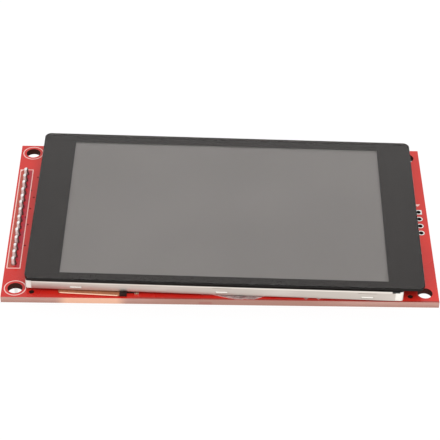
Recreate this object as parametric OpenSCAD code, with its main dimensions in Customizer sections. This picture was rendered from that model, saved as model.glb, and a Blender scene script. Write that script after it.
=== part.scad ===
// Colour display module: a touch display stack carried on a circuit board.
// Origin: centre of the four mounting holes, on the board's back face.
// +X runs along the board away from the pin header, +Z points out of the display.

/* [Circuit board] */
// Length of the board, along X
board_l = 98; // [97:0.5:104]
// Width of the board, along Y
board_w = 55.5; // [55.5:0.5:60]
// Thickness of the board
board_t = 1.6; // [1:0.1:2]
// Diameter of the mounting holes
hole_d = 3.4; // [2.6:0.1:3.6]
// Distance of the mounting holes' centres from the board's edges
hole_inset = 3; // [2.8:0.1:3.4]
// Diameter of the two small tooling holes near the front edge
tooling_hole_d = 1.2; // [0.8:0.1:1.4]
// Distance of the near tooling hole from the board's header end
tooling_near_inset = 6.8; // [6.4:0.05:8]
// Distance of the far tooling hole from the board's far end
tooling_far_inset = 6.4; // [6:0.05:8]
// Distance of the tooling holes from the front edge
tooling_inset = 1.8; // [1.5:0.1:2.2]
// Outer diameter of the printed rings round the mounting holes at the header end
ring_d = 5; // [4.6:0.1:5.4]
// Width of the printed lines
print_line = 0.22; // [0.16:0.02:0.4]
// Thickness of the printed ink on the board
print_t = 0.03; // [0.02:0.01:0.06]

/* [Pin header] */
// Number of header pins
pin_count = 14; // [8:1:16]
// Pitch of the header pins
pin_pitch = 2.54; // [2:0.01:2.54]
// Width of one square pin
pin_side = 0.64; // [0.5:0.02:0.7]
// Length of the pins past the header's body
pin_reach = 6; // [4:0.5:9]
// Height of the header's body
header_h = 2.5; // [2:0.1:3]
// Width of the header's body
header_w = 2.5; // [2.3:0.1:2.6]
// Distance of the pin row from the board's end
header_inset = 2; // [1.9:0.1:2.2]
// Diameter of the drilled holes for the pins
header_drill = 1; // [1:0.05:1.1]
// Height of the solder cones on the display side
solder_h = 1.15; // [0.8:0.05:1.6]
// Diameter of the solder cones at their foot
solder_d = 1.75; // [1.5:0.05:1.9]

/* [Card header holes] */
// Number of unfilled plated holes at the far end
card_hole_count = 4; // [2:1:6]
// Distance of these holes from the board's end
card_hole_inset = 1.95; // [1.6:0.05:2.3]
// Inner diameter of these holes
card_hole_d = 1.1; // [0.8:0.05:1.15]
// Diameter of their copper pads
pad_d = 1.65; // [1.5:0.05:1.9]
// Thickness of the pads and of the plating in the holes
plating_t = 0.05; // [0.03:0.01:0.08]

/* [Cover glass] */
// Margin between the cover glass and the board's long edges
glass_side_margin = 1; // [0.8:0.05:2]
// Distance from the board's header end to the cover glass
glass_near_margin = 6.2; // [5.6:0.05:8]
// Distance from the cover glass to the board's far end
glass_far_margin = 3.25; // [2.6:0.05:5]
// Thickness of the cover glass
glass_t = 0.7; // [0.5:0.05:1]
// Corner radius of the cover glass
glass_corner_r = 1.5; // [0.8:0.1:3]
// Width of the black border along the front edge
border_front = 2.65; // [2.3:0.05:5]
// Width of the black border along the back edge
border_back = 2.6; // [2.1:0.05:5]
// Width of the black border at the header end
border_near = 7.15; // [7:0.05:9]
// Width of the black border at the far end
border_far = 7.8; // [7.4:0.05:10]
// Thickness of the printed border
ink_t = 0.03; // [0.02:0.01:0.05]
// Thickness of the optical adhesive
adhesive_t = 0.1; // [0.05:0.01:0.2]
// Thickness of the touch sensor
sensor_t = 0.12; // [0.1:0.01:0.3]
// Thickness of the gasket tape
gasket_t = 0.1; // [0.1:0.01:0.3]

/* [Display unit] */
// Reach of the display unit past the glass's near edge
lcd_near_reach = 0.25; // [0:0.05:0.3]
// Reach of the glass past the display unit's far end
lcd_far_inset = 4.25; // [4:0.05:5]
// Distance from the glass's long edges in to the display unit
lcd_side_inset = 0.2; // [0.2:0.05:0.5]
// Height of the display unit
lcd_h = 2.6; // [2.4:0.1:3.2]
// Sheet thickness of the metal frame
sheet_t = 0.15; // [0.1:0.01:0.2]
// Outside radius of the metal frame's folds
fold_r = 0.4; // [0.3:0.05:0.6]
// Length of the white end that the metal frame leaves bare
bare_end = 1.85; // [1.2:0.05:2.2]
// Length of the clip windows in the metal frame
clip_l = 2.65; // [2:0.05:4]
// Height of the clip windows
clip_h = 0.6; // [0.4:0.05:0.8]
// Distance from the display unit's near end to the first clip window's middle
clip_first = 11.4; // [8:0.1:14]
// Pitch of the three clip windows
clip_pitch = 32.55; // [25:0.05:34]
// Corner radius of the white frame
frame_corner_r = 0.6; // [0.4:0.1:1.4]
// Thickness of each of the cell's two glasses
cell_glass_t = 0.4; // [0.3:0.05:0.45]
// Thickness of each polarizer
polarizer_t = 0.15; // [0.1:0.01:0.18]
// Thickness of the prism film
prism_t = 0.12; // [0.08:0.01:0.2]
// Thickness of the diffuser film
diffuser_t = 0.1; // [0.06:0.01:0.15]
// Thickness of the reflector film
reflector_t = 0.1; // [0.06:0.01:0.15]
// Number of light-emitting diodes along the display's end
led_count = 6; // [4:1:9]

/* [Placement] */
// Offset of the display from the board's middle line, along Y
display_y = -0.25; // [-0.3:0.05:0]
// Height of the display unit over the board at the glass's centre
ride_h = 0.5; // [0.5:0.05:0.9]
// Rise of the display towards its flexes, in degrees
display_roll = 0.52; // [0.4:0.01:0.6]
// Turn of the glass on the board, in degrees
glass_yaw = -0.77; // [-1:0.01:0]
// Further turn of the display unit under the glass, in degrees
lcd_yaw = -0.6; // [-0.8:0.1:0]

/* [Flexes] */
// Width of the display flex
display_flex_w = 24; // [18:1:26]
// Thickness of the display flex
display_flex_t = 0.1; // [0.08:0.01:0.12]
// Width of the touch flex where it is bonded
touch_flex_w = 7; // [5:0.5:7.5]
// Thickness of the touch flex
touch_flex_t = 0.08; // [0.06:0.01:0.1]
// Height of the touch flex over the board at its connector
touch_flex_lift = 0.16; // [0.15:0.01:0.3]
// Height of the touch connector
connector_h = 0.62; // [0.55:0.01:0.66]
// Number of the display flex's solder joints
flex_joint_count = 28; // [18:1:30]

/* [Card socket] */
// Width of the card socket
socket_w = 29; // [28:0.5:31]
// Depth of the card socket
socket_d = 28; // [27:0.5:30]
// Height of the card socket
socket_h = 2.9; // [2.7:0.1:3.3]
// Sheet thickness of the socket's shell
shell_t = 0.2; // [0.15:0.01:0.3]
// Distance of the card socket's middle from the board's far end
socket_inset = 27; // [24:0.5:30]
// Number of the socket's contacts
socket_contact_count = 9; // [7:1:9]

/* [Back side parts] */
// Number of the level shifter's leads on each side
shifter_side_count = 10; // [7:1:12]
// Height of the chip resistors
resistor_h = 0.45; // [0.35:0.05:0.6]
// Height of the chip capacitors on the back
capacitor_h = 0.8; // [0.5:0.05:0.9]

/* [Hidden] */

// Clearance between bonded layers, and between a piece and the pocket that holds it
film_gap = 0.01;
pocket_gap = 0.1;
seat_gap = 0.02;
// How far a cutting shape runs past what it cuts
past = 1;

// Heights in the display's own frame: zero is the top of the cover glass
ink_z = -glass_t - film_gap;
adhesive_z = ink_z - ink_t - film_gap;
sensor_z = adhesive_z - adhesive_t - film_gap;
gasket_z = sensor_z - sensor_t - film_gap;
lcd_z = gasket_z - gasket_t - film_gap;
lcd_bottom = lcd_z - lcd_h;
filter_z = lcd_z - sheet_t - 3 * film_gap;
front_polarizer_z = filter_z + film_gap + polarizer_t;
cell_z = filter_z - cell_glass_t - film_gap;
rear_polarizer_z = cell_z - cell_glass_t - film_gap;
prism_z = rear_polarizer_z - polarizer_t - film_gap;
diffuser_z = prism_z - prism_t - film_gap;
guide_z = diffuser_z - diffuser_t - film_gap;
// The reflector lies in a shallow recess in the underside of the white frame
reflector_recess = 0.1;
reflector_z = lcd_bottom + reflector_recess + reflector_t;
guide_t = guide_z - reflector_z - film_gap;

// Outline of the cover glass and its window, from the glass's centre
glass_l = board_l - glass_near_margin - glass_far_margin;
glass_w = board_w - 2 * glass_side_margin;
window_x0 = -glass_l / 2 + border_near;
window_x1 = glass_l / 2 - border_far;
window_y0 = -glass_w / 2 + border_front;
window_y1 = glass_w / 2 - border_back;
display_x = (glass_near_margin - glass_far_margin) / 2;

// Outline of the display unit, along its length and across it
lcd_x0 = -glass_l / 2 - lcd_near_reach;
lcd_x1 = glass_l / 2 - lcd_far_inset;
lcd_w = glass_w - 2 * lcd_side_inset;
metal_x1 = lcd_x1 - bare_end;
// Over this last stretch the metal and white frames step down for the end seal
seal_x0 = metal_x1 - 0.7;
seal_x1 = lcd_x1 - 0.8;
seal_step = 0.35;
// The white frame lies inside the metal walls
frame_w = lcd_w - 2 * (sheet_t + seat_gap);
frame_x0 = lcd_x0 + sheet_t + seat_gap;
cell_x0 = lcd_x0 + 1.7;
cell_x1 = metal_x1 - 0.2;
cell_w = frame_w - 1.3;
filter_x0 = window_x0 - 1.5;
// The light guide's cavity under the cell, with the lamps at its near end
cavity_x0 = cell_x0 + 0.9;
cavity_x1 = cell_x1 - 0.3;
cavity_w = cell_w - 1.4;
lamp_l = 1.1;
guide_x0 = cavity_x0 + lamp_l + 3 * film_gap;
// Corner reliefs where the metal frame is folded
relief = 1.5;

// Height of the board's face, seen in the display's frame, at x
function board_z(x) = lcd_bottom - ride_h + x * tan(display_roll);

pitch_x = board_l - 2 * hole_inset;
pitch_y = board_w - 2 * hole_inset;
header_x = -board_l / 2 + header_inset;
header_l = pin_count * pin_pitch;
card_x = board_l / 2 - card_hole_inset;

// Points of an arc about (cx, cy), from angle a0 to a1 in n steps
function arc(cx, cy, r, a0, a1, n = 8) =
    [for (i = [0:n]) let (a = a0 + (a1 - a0) * i / n) [cx + r * cos(a), cy + r * sin(a)]];

// Outline of a strip of thickness t whose middle follows the path p
function unit(v) = v / norm(v);
function side_of(p, i) = let (d = unit(p[i + 1] - p[i])) [-d[1], d[0]];
function miter(p, i) =
    let (a = side_of(p, max(i - 1, 0)), b = side_of(p, min(i, len(p) - 2)), m = unit(a + b)) m / (m * a);
function ribbon(p, t) = concat(
    [for (i = [0:len(p) - 1]) p[i] + miter(p, i) * t / 2],
    [for (i = [len(p) - 1:-1:0]) p[i] - miter(p, i) * t / 2]);

// A strip bent in the XZ plane along the path p, and w wide along Y
module bent_strip(p, t, w) rotate([90, 0, 0]) linear_extrude(w, center = true) polygon(ribbon(p, t));

// A box from low to high in each direction
module block(x0, x1, y0, y1, z0, z1) translate([x0, y0, z0]) cube([x1 - x0, y1 - y0, z1 - z0]);

// A sheet of thickness t whose top lies at z
module sheet(x0, x1, w, z, t) block(x0, x1, -w / 2, w / 2, z - t, z);

// A flat rectangle with round corners, centred
module round_rect(l, w, r) {
    square([l - 2 * r, w], center = true);
    square([l, w - 2 * r], center = true);
    for (sx = [-1, 1], sy = [-1, 1]) translate([sx * (l / 2 - r), sy * (w / 2 - r)]) circle(r, $fn = 48);
}

module on_face() translate([0, 0, board_t]) children();
module on_back(x, y, turn = 0) translate([x, y, 0]) rotate([180, 0, 0]) rotate(turn) children();
module in_display() translate([display_x, display_y, board_t + ride_h - lcd_bottom])
    rotate([0, display_roll, glass_yaw]) children();
module in_lcd() in_display() rotate(lcd_yaw) children();
module under_display() intersection() {
    children();
    in_display() block(-board_l, board_l, -board_w, board_w, lcd_bottom - 20, lcd_bottom - seat_gap);
}

module at_corners() for (sx = [-1, 1], sy = [-1, 1])
    translate([sx * pitch_x / 2, sy * pitch_y / 2, 0]) children();
module at_tooling_holes() for (x = [tooling_near_inset - board_l / 2, board_l / 2 - tooling_far_inset])
    translate([x, tooling_inset - board_w / 2, 0]) children();
module at_pins() for (i = [0:pin_count - 1])
    translate([header_x, (i - (pin_count - 1) / 2) * pin_pitch, 0]) children();
module at_card_holes(first = 0, last = card_hole_count - 1) for (i = [first:last])
    translate([card_x, (i - (card_hole_count - 1) / 2) * pin_pitch, 0]) children();
module drill(d) translate([0, 0, -past]) cylinder(d = d, h = board_t + 2 * past, $fn = 48);

// ---- Circuit board ----

module circuit_board() color([0.78, 0.13, 0.11]) difference() {
    block(-board_l / 2, board_l / 2, -board_w / 2, board_w / 2, 0, board_t);
    at_corners() drill(hole_d);
    at_tooling_holes() drill(tooling_hole_d);
    at_pins() drill(header_drill);
    at_card_holes() drill(card_hole_d + 2 * plating_t);
}

// Outline of a printed rectangle
module printed_frame(l, w) difference() {
    square([l, w], center = true);
    square([l - 2 * print_line, w - 2 * print_line], center = true);
}

// The outline round the header, and the corner mark at its first pin
outline_w = header_w + 0.7;
outline_l = header_l + 0.8;
module header_print() translate([header_x, 0]) printed_frame(outline_w, outline_l);
module first_pin_print() translate([header_x - outline_w / 2, outline_l / 2])
    polygon([[0, 0], [1, 0], [0, -1]]);

module ring_print(sides) for (sy = sides) translate([-pitch_x / 2, sy * pitch_y / 2]) difference() {
    circle(d = ring_d, $fn = 64);
    circle(d = ring_d - 2 * print_line, $fn = 64);
}

module screen_print() color([0.96, 0.93, 0.9]) {
    on_face() linear_extrude(print_t) {
        header_print();
        first_pin_print();
        ring_print([-1, 1]);
        translate([card_x, card_hole_count * pin_pitch / 2 + 1.1]) polygon([[-0.7, 0.6], [0.7, 0.6], [0, -0.3]]);
    }
    mirror([0, 0, 1]) linear_extrude(print_t) {
        header_print();
        ring_print([-1, 1]);
        translate([card_x, 0]) printed_frame(2.6, card_hole_count * pin_pitch + 0.2);
        translate([shifter_x, shifter_y]) printed_frame(shifter_l + 0.8, 3.6);
        for (p = capacitor_places) translate([header_x + p[0], p[1]]) rotate(p[2]) printed_frame(2.7, 1.5);
    }
}

// Rivet-like plated hole: a pad on each face and the plating between them
module plated_hole() difference() {
    union() {
        translate([0, 0, -plating_t]) cylinder(d = card_hole_d + 2 * plating_t, h = board_t + 2 * plating_t, $fn = 48);
        for (z = [-plating_t, board_t]) translate([0, 0, z]) linear_extrude(plating_t) children();
    }
    drill(card_hole_d);
}

module card_header_pads() color([0.83, 0.82, 0.78]) {
    at_card_holes(0, card_hole_count - 2) plated_hole() circle(d = pad_d, $fn = 48);
    at_card_holes(card_hole_count - 1) plated_hole() square(pad_d, center = true);
}

// ---- Pin header ----

// Plan of the header's body: a bar notched between the pins
function pin_cell(i) = [(i - pin_count / 2) * pin_pitch, (i + 1 - pin_count / 2) * pin_pitch];
module header_plan(c = 0.5) {
    polygon(concat(
        [for (i = [0:pin_count - 1]) let (e = pin_cell(i), x = header_w / 2)
            each [[x - c, e[0]], [x, e[0] + c], [x, e[1] - c], [x - c, e[1]]]],
        [for (i = [pin_count - 1:-1:0]) let (e = pin_cell(i), x = -header_w / 2)
            each [[x + c, e[1]], [x, e[1] - c], [x, e[0] + c], [x + c, e[0]]]]));
}

module header_body() color([0.09, 0.09, 0.1]) difference() {
    translate([header_x, 0, -header_h]) linear_extrude(header_h) header_plan();
    at_pins() block(-pin_side / 2, pin_side / 2, -pin_side / 2, pin_side / 2, -header_h - past, past);
}

// Side view of a pin from z0 to z1, with chamfered ends
module pin_side_view(z0, z1) {
    r = pin_side / 2;
    c = pin_side * 0.3;
    polygon([[-r + c, z0], [r - c, z0], [r, z0 + 1.5 * c], [r, z1 - c], [r - c, z1], [-r + c, z1],
        [-r, z1 - c], [-r, z0 + 1.5 * c]]);
}

module pin() intersection() {
    z0 = -header_h - pin_reach;
    z1 = board_t + solder_h + 0.25;
    rotate([90, 0, 0]) linear_extrude(pin_side, center = true) pin_side_view(z0, z1);
    rotate([90, 0, 90]) linear_extrude(pin_side, center = true) pin_side_view(z0, z1);
}

module header_pins() color([0.85, 0.68, 0.32]) at_pins() pin();

// Solder: it fills the drilled hole and rises round the pin in a hollow cone
module solder_joint() difference() {
    tip_r = pin_side * 0.62;
    rotate_extrude($fn = 48) polygon(concat(
        [[0, 0], [header_drill / 2, 0], [header_drill / 2, board_t], [solder_d / 2, board_t]],
        [for (i = [0:6]) let (u = i / 6)
            [tip_r + (solder_d / 2 - tip_r) * pow(1 - u, 2.4), board_t + 0.04 + (solder_h - 0.04) * u]],
        [[0, board_t + solder_h]]));
    block(-pin_side / 2, pin_side / 2, -pin_side / 2, pin_side / 2, -past, board_t + solder_h + past);
}

module header_solder() color([0.8, 0.8, 0.8]) at_pins() solder_joint();

// ---- Cover glass and touch sensor ----

module glass_outline(inset)
    round_rect(glass_l - 2 * inset, glass_w - 2 * inset, max(glass_corner_r - inset, 0.2));
module window_outline(grow = 0) translate([window_x0 - grow, window_y0 - grow])
    square([window_x1 - window_x0 + 2 * grow, window_y1 - window_y0 + 2 * grow]);
module layer(z, t) in_display() translate([0, 0, z - t]) linear_extrude(t) children();

// The printed border, the adhesive and the sensor end a little inside the glass
ink_inset = 0.15;
adhesive_inset = 0.5;
sensor_inset = 0.35;

module cover_glass() color([0.2, 0.2, 0.2]) layer(0, glass_t) glass_outline(0);

module black_border() color([0.03, 0.03, 0.03]) layer(ink_z, ink_t) difference() {
    glass_outline(ink_inset);
    window_outline();
}

module optical_adhesive() color([0.85, 0.88, 0.9]) {
    layer(adhesive_z, adhesive_t) glass_outline(adhesive_inset);
    layer(ink_z, ink_t + 2 * film_gap) window_outline(-film_gap);
}

module touch_sensor() color([0.45, 0.46, 0.46]) layer(sensor_z, sensor_t) glass_outline(sensor_inset);

// ---- Touch flex, bonded under the sensor's end and folded under the display ----

touch_flex_y = -12;
touch_bond_z = gasket_z - film_gap - touch_flex_t / 2;
touch_fold_r = (touch_bond_z - lcd_bottom + 0.15) / 2;
// Middle of the fold, set so that the flex stays inside the glass's edge
touch_fold_x = -glass_l / 2 + touch_fold_r + touch_flex_t + 0.05;
touch_bond_x = touch_fold_x + 1.8;
touch_run_x = touch_fold_x + 2.2;
// The connector's place on the board, and where the flex meets it
connector_x = -board_l / 2 + 26.5;
connector_y = -board_w / 2 + 3.3;
touch_tail_w = 4.6;
touch_tail_y = connector_y - 0.3;
// Corners of the flat part of the flex: it turns towards the front edge, then to the connector
touch_leg_x = -board_l / 2 + 12.8;
touch_leg_w = 5;
touch_skew = 0.8;
touch_flat = [[touch_leg_x, touch_flex_y + touch_flex_w / 2],
    [touch_leg_x, touch_tail_y + touch_skew - touch_tail_w / 2],
    [connector_x - seat_gap, touch_tail_y - touch_tail_w / 2],
    [connector_x - seat_gap, touch_tail_y + touch_tail_w / 2],
    [touch_leg_x + touch_leg_w, touch_tail_y + touch_skew + touch_tail_w / 2],
    [touch_leg_x + touch_leg_w, touch_flex_y + touch_flex_w / 2]];
// The flat part is a little thicker, with its stiffener, and takes in the end of the sloping part
touch_flat_t = touch_flex_t + 0.04;
touch_join_x = touch_leg_x - display_x + 0.6;

module touch_flex() color([0.72, 0.42, 0.16]) {
    in_display() translate([0, touch_flex_y, 0]) bent_strip(concat(
        [[touch_bond_x, touch_bond_z]],
        arc(touch_fold_x, touch_bond_z - touch_fold_r, touch_fold_r, 90, 270, 12),
        [[touch_run_x, touch_bond_z - 2 * touch_fold_r],
        [touch_join_x, board_z(touch_join_x) + touch_flex_lift + touch_flat_t / 2]]), touch_flex_t, touch_flex_w - 0.1);
    translate([0, 0, board_t + touch_flex_lift]) linear_extrude(touch_flat_t) polygon(touch_flat);
}

touch_controller_h = 0.32;
module touch_controller() color([0.12, 0.12, 0.13])
    translate([touch_leg_x + touch_leg_w / 2, touch_flex_y, board_t + touch_flex_lift + touch_flat_t + film_gap])
    linear_extrude(touch_controller_h) square(touch_leg_w - 1.2, center = true);

// Connector: a low housing with a wider lip where the flex goes in
connector_l = 5.4;
connector_lip = 1.6;
connector_d = 3.2;
module touch_connector() color([0.07, 0.07, 0.08]) difference() {
    on_face() {
        block(connector_x, connector_x + connector_lip, connector_y - connector_l / 2, connector_y + connector_l / 2,
            0, connector_h);
        block(connector_x + connector_lip, connector_x + connector_d, connector_y - connector_l / 2 + 1.1,
            connector_y + connector_l / 2 - 0.3, 0, connector_h);
    }
    // Slots for the contacts
    at_touch_contacts() block(-past, connector_d + past, -0.12, 0.12, -past, touch_contact_t + seat_gap);
}

touch_contact_t = 0.12;
touch_contact_pitch = 0.5;
module at_touch_contacts() for (i = [-2.5:2.5])
    translate([connector_x, connector_y + 0.4 + i * touch_contact_pitch, board_t]) children();

module touch_contacts() color([0.85, 0.7, 0.35]) at_touch_contacts()
    block(0.4, connector_d + 0.5, -0.1, 0.1, 0, touch_contact_t);

// ---- Gasket and end seal ----

module gasket() color([0.08, 0.08, 0.08]) layer(gasket_z, gasket_t) difference() {
    intersection() {
        glass_outline(sensor_inset + 0.15);
        translate([-board_l, -board_w]) square([board_l + seal_x1 - 0.1, 2 * board_w]);
    }
    translate([filter_x0 + 0.5, -cell_w / 2 + 0.7]) square([seal_x0 - filter_x0 - 0.7, cell_w - 1.4]);
    // Way out for the touch flex
    translate([-board_l, touch_flex_y - touch_flex_w / 2 - 0.2])
        square([board_l + touch_bond_x + 0.1, touch_flex_w + 0.4]);
}

module end_seal() color([0.06, 0.06, 0.06]) in_lcd() translate([0, 0, lcd_z - seal_step + film_gap]) {
    h = seal_step - 2 * film_gap;
    block(cell_x1 + pocket_gap + film_gap, seal_x1 - film_gap, -frame_w / 2, frame_w / 2, 0, h);
    for (sy = [-1, 1]) translate([0, sy * (frame_w / 2 - 0.25), 0])
        block(seal_x0 + film_gap, seal_x1 - film_gap, -0.25, 0.25, 0, h);
}

// ---- Metal frame ----

// Edge strip: a flat flange, a round fold and a wall, along X over the length l.
// Its outer face lies in the XZ plane and the flange points towards +Y.
module folded_edge(l, flange, wall) rotate([90, 0, 90]) linear_extrude(l) polygon(ribbon(concat(
    [[flange, -sheet_t / 2]],
    arc(fold_r, -fold_r, fold_r - sheet_t / 2, 90, 180, 6),
    [[sheet_t / 2, -wall]]), sheet_t));

flange_w = (lcd_w - cell_w) / 2 + 0.9;
fold_in = fold_r - sheet_t;
wall_h = lcd_h - 0.1;
ledge_flange = filter_x0 + 0.4 - lcd_x0;

// Places of the clips along both long walls
module at_clips(first = 0) for (side = [-1, 1], i = [first:2])
    translate([lcd_x0 + clip_first + clip_pitch * i, side * lcd_w / 2, lcd_z]) children();
clip_drop = 1.8;
slit_drop = 0.65;

module clip_windows(grow) at_clips() translate([0, 0, -clip_drop])
    cube([clip_l - 2 * grow, 2 * (sheet_t + grow), clip_h - 2 * grow], center = true);

module metal_frame() color([0.8, 0.77, 0.74]) in_lcd() difference() {
    translate([0, 0, lcd_z]) union() {
        // Front and back edges
        for (turn = [0, 1]) mirror([0, turn, 0]) translate([lcd_x0 + relief, -lcd_w / 2, 0])
            folded_edge(metal_x1 - lcd_x0 - relief, flange_w, wall_h);
        // Edge over the flexes
        translate([lcd_x0, lcd_w / 2 - relief, 0]) rotate(-90)
            folded_edge(lcd_w - 2 * relief, ledge_flange, wall_h);
    }
    clip_windows(0);
    // Slits over the middle and far windows
    at_clips(1) translate([0, 0, -slit_drop]) cube([4.2, 4 * sheet_t, 0.1], center = true);
    // Step down under the end seal
    block(seal_x0, lcd_x1 + past, -lcd_w, lcd_w, lcd_z - seal_step, lcd_z + past);
    // Ways out for the two flexes
    flex_notches(lcd_z + past);
}

display_flex_y = 6;
// Spaces through the display unit's end for the flexes
module flex_notches(top) {
    block(lcd_x0 - past, cell_x0 + 0.05, display_flex_y - display_flex_w / 2 - 0.4,
        display_flex_y + display_flex_w / 2 + 0.4, lcd_bottom - past, top);
    block(lcd_x0 - past, cell_x0 + 0.35, touch_flex_y - touch_flex_w / 2 - 0.8,
        touch_flex_y + touch_flex_w / 2 + 0.8, lcd_bottom - past, top);
}

// ---- White moulded frame ----

frame_top = lcd_z - sheet_t - seat_gap;

module white_frame_outline() intersection() {
    translate([(frame_x0 + lcd_x1) / 2, 0]) round_rect(lcd_x1 - frame_x0, frame_w, frame_corner_r);
    square([4 * board_l, frame_w], center = true);
}

module white_frame() color([0.97, 0.96, 0.93]) in_lcd() difference() {
    union() {
        translate([0, 0, lcd_bottom]) linear_extrude(frame_top - fold_in - lcd_bottom) white_frame_outline();
        // The top steps in to clear the inside of the metal frame's folds
        block(lcd_x0 + fold_r, metal_x1, -lcd_w / 2 + fold_r, lcd_w / 2 - fold_r, lcd_bottom, frame_top);
        // Corner posts that fill the metal frame's reliefs
        for (side = [-1, 1]) intersection() {
            translate([0, 0, lcd_bottom]) linear_extrude(lcd_h - seat_gap) white_frame_outline();
            translate([lcd_x0 - past, side * lcd_w / 2 - (side > 0 ? relief : 0), lcd_bottom])
                cube([relief + past - seat_gap, relief - seat_gap, lcd_h]);
        }
        // Raised rim at the bare end
        translate([0, 0, lcd_bottom]) linear_extrude(lcd_h - seat_gap) intersection() {
            white_frame_outline();
            translate([seal_x1, -lcd_w / 2]) square([lcd_x1 - seal_x1, lcd_w]);
        }
        // Clips that snap into the metal frame's windows
        intersection() {
            clip_windows(pocket_gap);
            block(lcd_x0, lcd_x1, -lcd_w / 2 + 0.03, lcd_w / 2 - 0.03, lcd_bottom, lcd_z);
        }
    }
    // Recess for the cell's two glasses
    block(cell_x0 - pocket_gap, cell_x1 + pocket_gap, -cell_w / 2 - pocket_gap, cell_w / 2 + pocket_gap,
        rear_polarizer_z - film_gap, lcd_z + past);
    // Cavity for the films, the light guide and the lamps
    block(cavity_x0, cavity_x1, -cavity_w / 2, cavity_w / 2, lcd_bottom - past, lcd_z);
    // Shallow recess for the reflector film
    block(cavity_x0 - 0.5, cavity_x1 + 0.5, -cavity_w / 2 - 0.5, cavity_w / 2 + 0.5, lcd_bottom - past,
        lcd_bottom + reflector_recess + reflector_t + film_gap);
    // Step for the end seal
    block(seal_x0, seal_x1, -lcd_w, lcd_w, lcd_z - seal_step, lcd_z + past);
    flex_notches(lcd_z + past);
    // Slot for the lamp strip's tail
    translate([0, tail_y, 0]) block(lcd_x0, cavity_x0 + past, -tail_w / 2 - film_gap, tail_w / 2 + film_gap,
        strip_z - strip_t - film_gap, strip_z + film_gap);
}

// ---- Display cell ----

module front_polarizer() color([0.35, 0.36, 0.36]) in_lcd()
    sheet(filter_x0 + 0.6, seal_x0 - 0.4, lcd_w - 2 * flange_w - 2 * pocket_gap, front_polarizer_z, polarizer_t);
module color_filter_glass() color([0.55, 0.6, 0.58]) in_lcd()
    sheet(filter_x0, cell_x1, cell_w, filter_z, cell_glass_t);
module transistor_glass() color([0.5, 0.58, 0.55]) in_lcd()
    sheet(cell_x0, cell_x1, cell_w, cell_z, cell_glass_t);
module rear_polarizer() color([0.4, 0.4, 0.42]) in_lcd()
    sheet(cavity_x0 + lamp_l + 0.4, cavity_x1 - pocket_gap, cavity_w - 2 * pocket_gap, rear_polarizer_z, polarizer_t);
// The driver is bonded on the ledge, between the flex and the colour filter glass
module driver_chip() color([0.2, 0.2, 0.22]) in_lcd() translate([0, 0, cell_z + film_gap])
    block(filter_x0 - 1.9, filter_x0 - 0.9, -9.5, 9.5, 0, 0.28);

// ---- Display flex ----

display_bond_z = cell_z + film_gap + display_flex_t / 2;
display_fold_r = (display_bond_z - lcd_bottom + 0.13) / 2;
display_fold_x = cell_x0 - 0.15;
display_run_z = display_bond_z - 2 * display_fold_r;
display_run_x = display_fold_x + 3.5;
display_land_x = display_run_x + 3.2;
display_tail_x = display_land_x + 5;
function flex_land(x) = [x, board_z(x) + film_gap + display_flex_t / 2];

module display_flex() color([0.66, 0.36, 0.14]) in_lcd() translate([0, display_flex_y, 0]) bent_strip(concat(
    [[cell_x0 + 1.4, display_bond_z]],
    arc(display_fold_x, display_bond_z - display_fold_r, display_fold_r, 90, 270, 12),
    [[display_run_x, display_run_z], flex_land(display_land_x), flex_land(display_tail_x)]),
    display_flex_t, display_flex_w);

// A row of fillets that solders the flex's end to the board
flex_joint_pitch = 0.78;
module flex_solder() color([0.8, 0.8, 0.8]) in_lcd() for (i = [0:flex_joint_count - 1])
    translate([display_tail_x + film_gap, display_flex_y + (i - (flex_joint_count - 1) / 2) * flex_joint_pitch,
        board_z(display_tail_x) + film_gap]) rotate([90, 0, 0])
        linear_extrude(0.4, center = true) polygon([[0, 0], [0.8, 0], [0.3, 0.08], [0, 0.14]]);

// ---- Backlight ----

module prism_film() color([0.85, 0.87, 0.9]) in_lcd()
    sheet(guide_x0, cavity_x1 - pocket_gap, cavity_w - 2 * pocket_gap, prism_z, prism_t);
module diffuser_film() color([0.92, 0.93, 0.94]) in_lcd()
    sheet(guide_x0, cavity_x1 - pocket_gap, cavity_w - 2 * pocket_gap, diffuser_z, diffuser_t);
module light_guide() color([0.88, 0.93, 0.95]) in_lcd()
    sheet(guide_x0, cavity_x1 - pocket_gap, cavity_w - 2 * pocket_gap, guide_z, guide_t);
module reflector_film() color([0.95, 0.95, 0.96]) in_lcd()
    sheet(cavity_x0 - 0.5 + pocket_gap, cavity_x1 + 0.5 - pocket_gap, cavity_w + 1 - 2 * pocket_gap,
        reflector_z, reflector_t);

strip_t = 0.1;
strip_z = reflector_z + film_gap + strip_t;
lamp_h = min(0.6, guide_t - strip_t - 2 * film_gap);
lamp_w = 3;
lamp_pitch = (cavity_w - 6) / led_count;

module backlight_leds() color([0.98, 0.95, 0.75]) in_lcd() for (i = [0:led_count - 1])
    translate([cavity_x0 + film_gap, (i - (led_count - 1) / 2) * lamp_pitch, strip_z + film_gap]) difference() {
        block(0, lamp_l, -lamp_w / 2, lamp_w / 2, 0, lamp_h);
        // Mouth that faces the light guide
        block(lamp_l - 0.2, lamp_l + past, -lamp_w / 2 + 0.3, lamp_w / 2 - 0.3, 0.1, lamp_h - 0.1);
    }

// The strip's tail passes through the white frame to the display flex
tail_w = 2;
tail_y = display_flex_y + display_flex_w / 2 - tail_w;
tail_rise = strip_z - strip_t / 2 - (display_bond_z - display_fold_r);
tail_x = display_fold_x - sqrt(pow(display_fold_r - display_flex_t / 2, 2) - pow(tail_rise, 2)) + 3 * seat_gap;
module led_strip() color([0.9, 0.9, 0.85]) in_lcd() {
    sheet(cavity_x0 + film_gap, cavity_x0 + lamp_l, cavity_w - 2 * pocket_gap, strip_z, strip_t);
    block(tail_x, cavity_x0 + 2 * film_gap, tail_y - tail_w / 2, tail_y + tail_w / 2, strip_z - strip_t, strip_z);
}

// ---- What holds the display to the board ----

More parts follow.
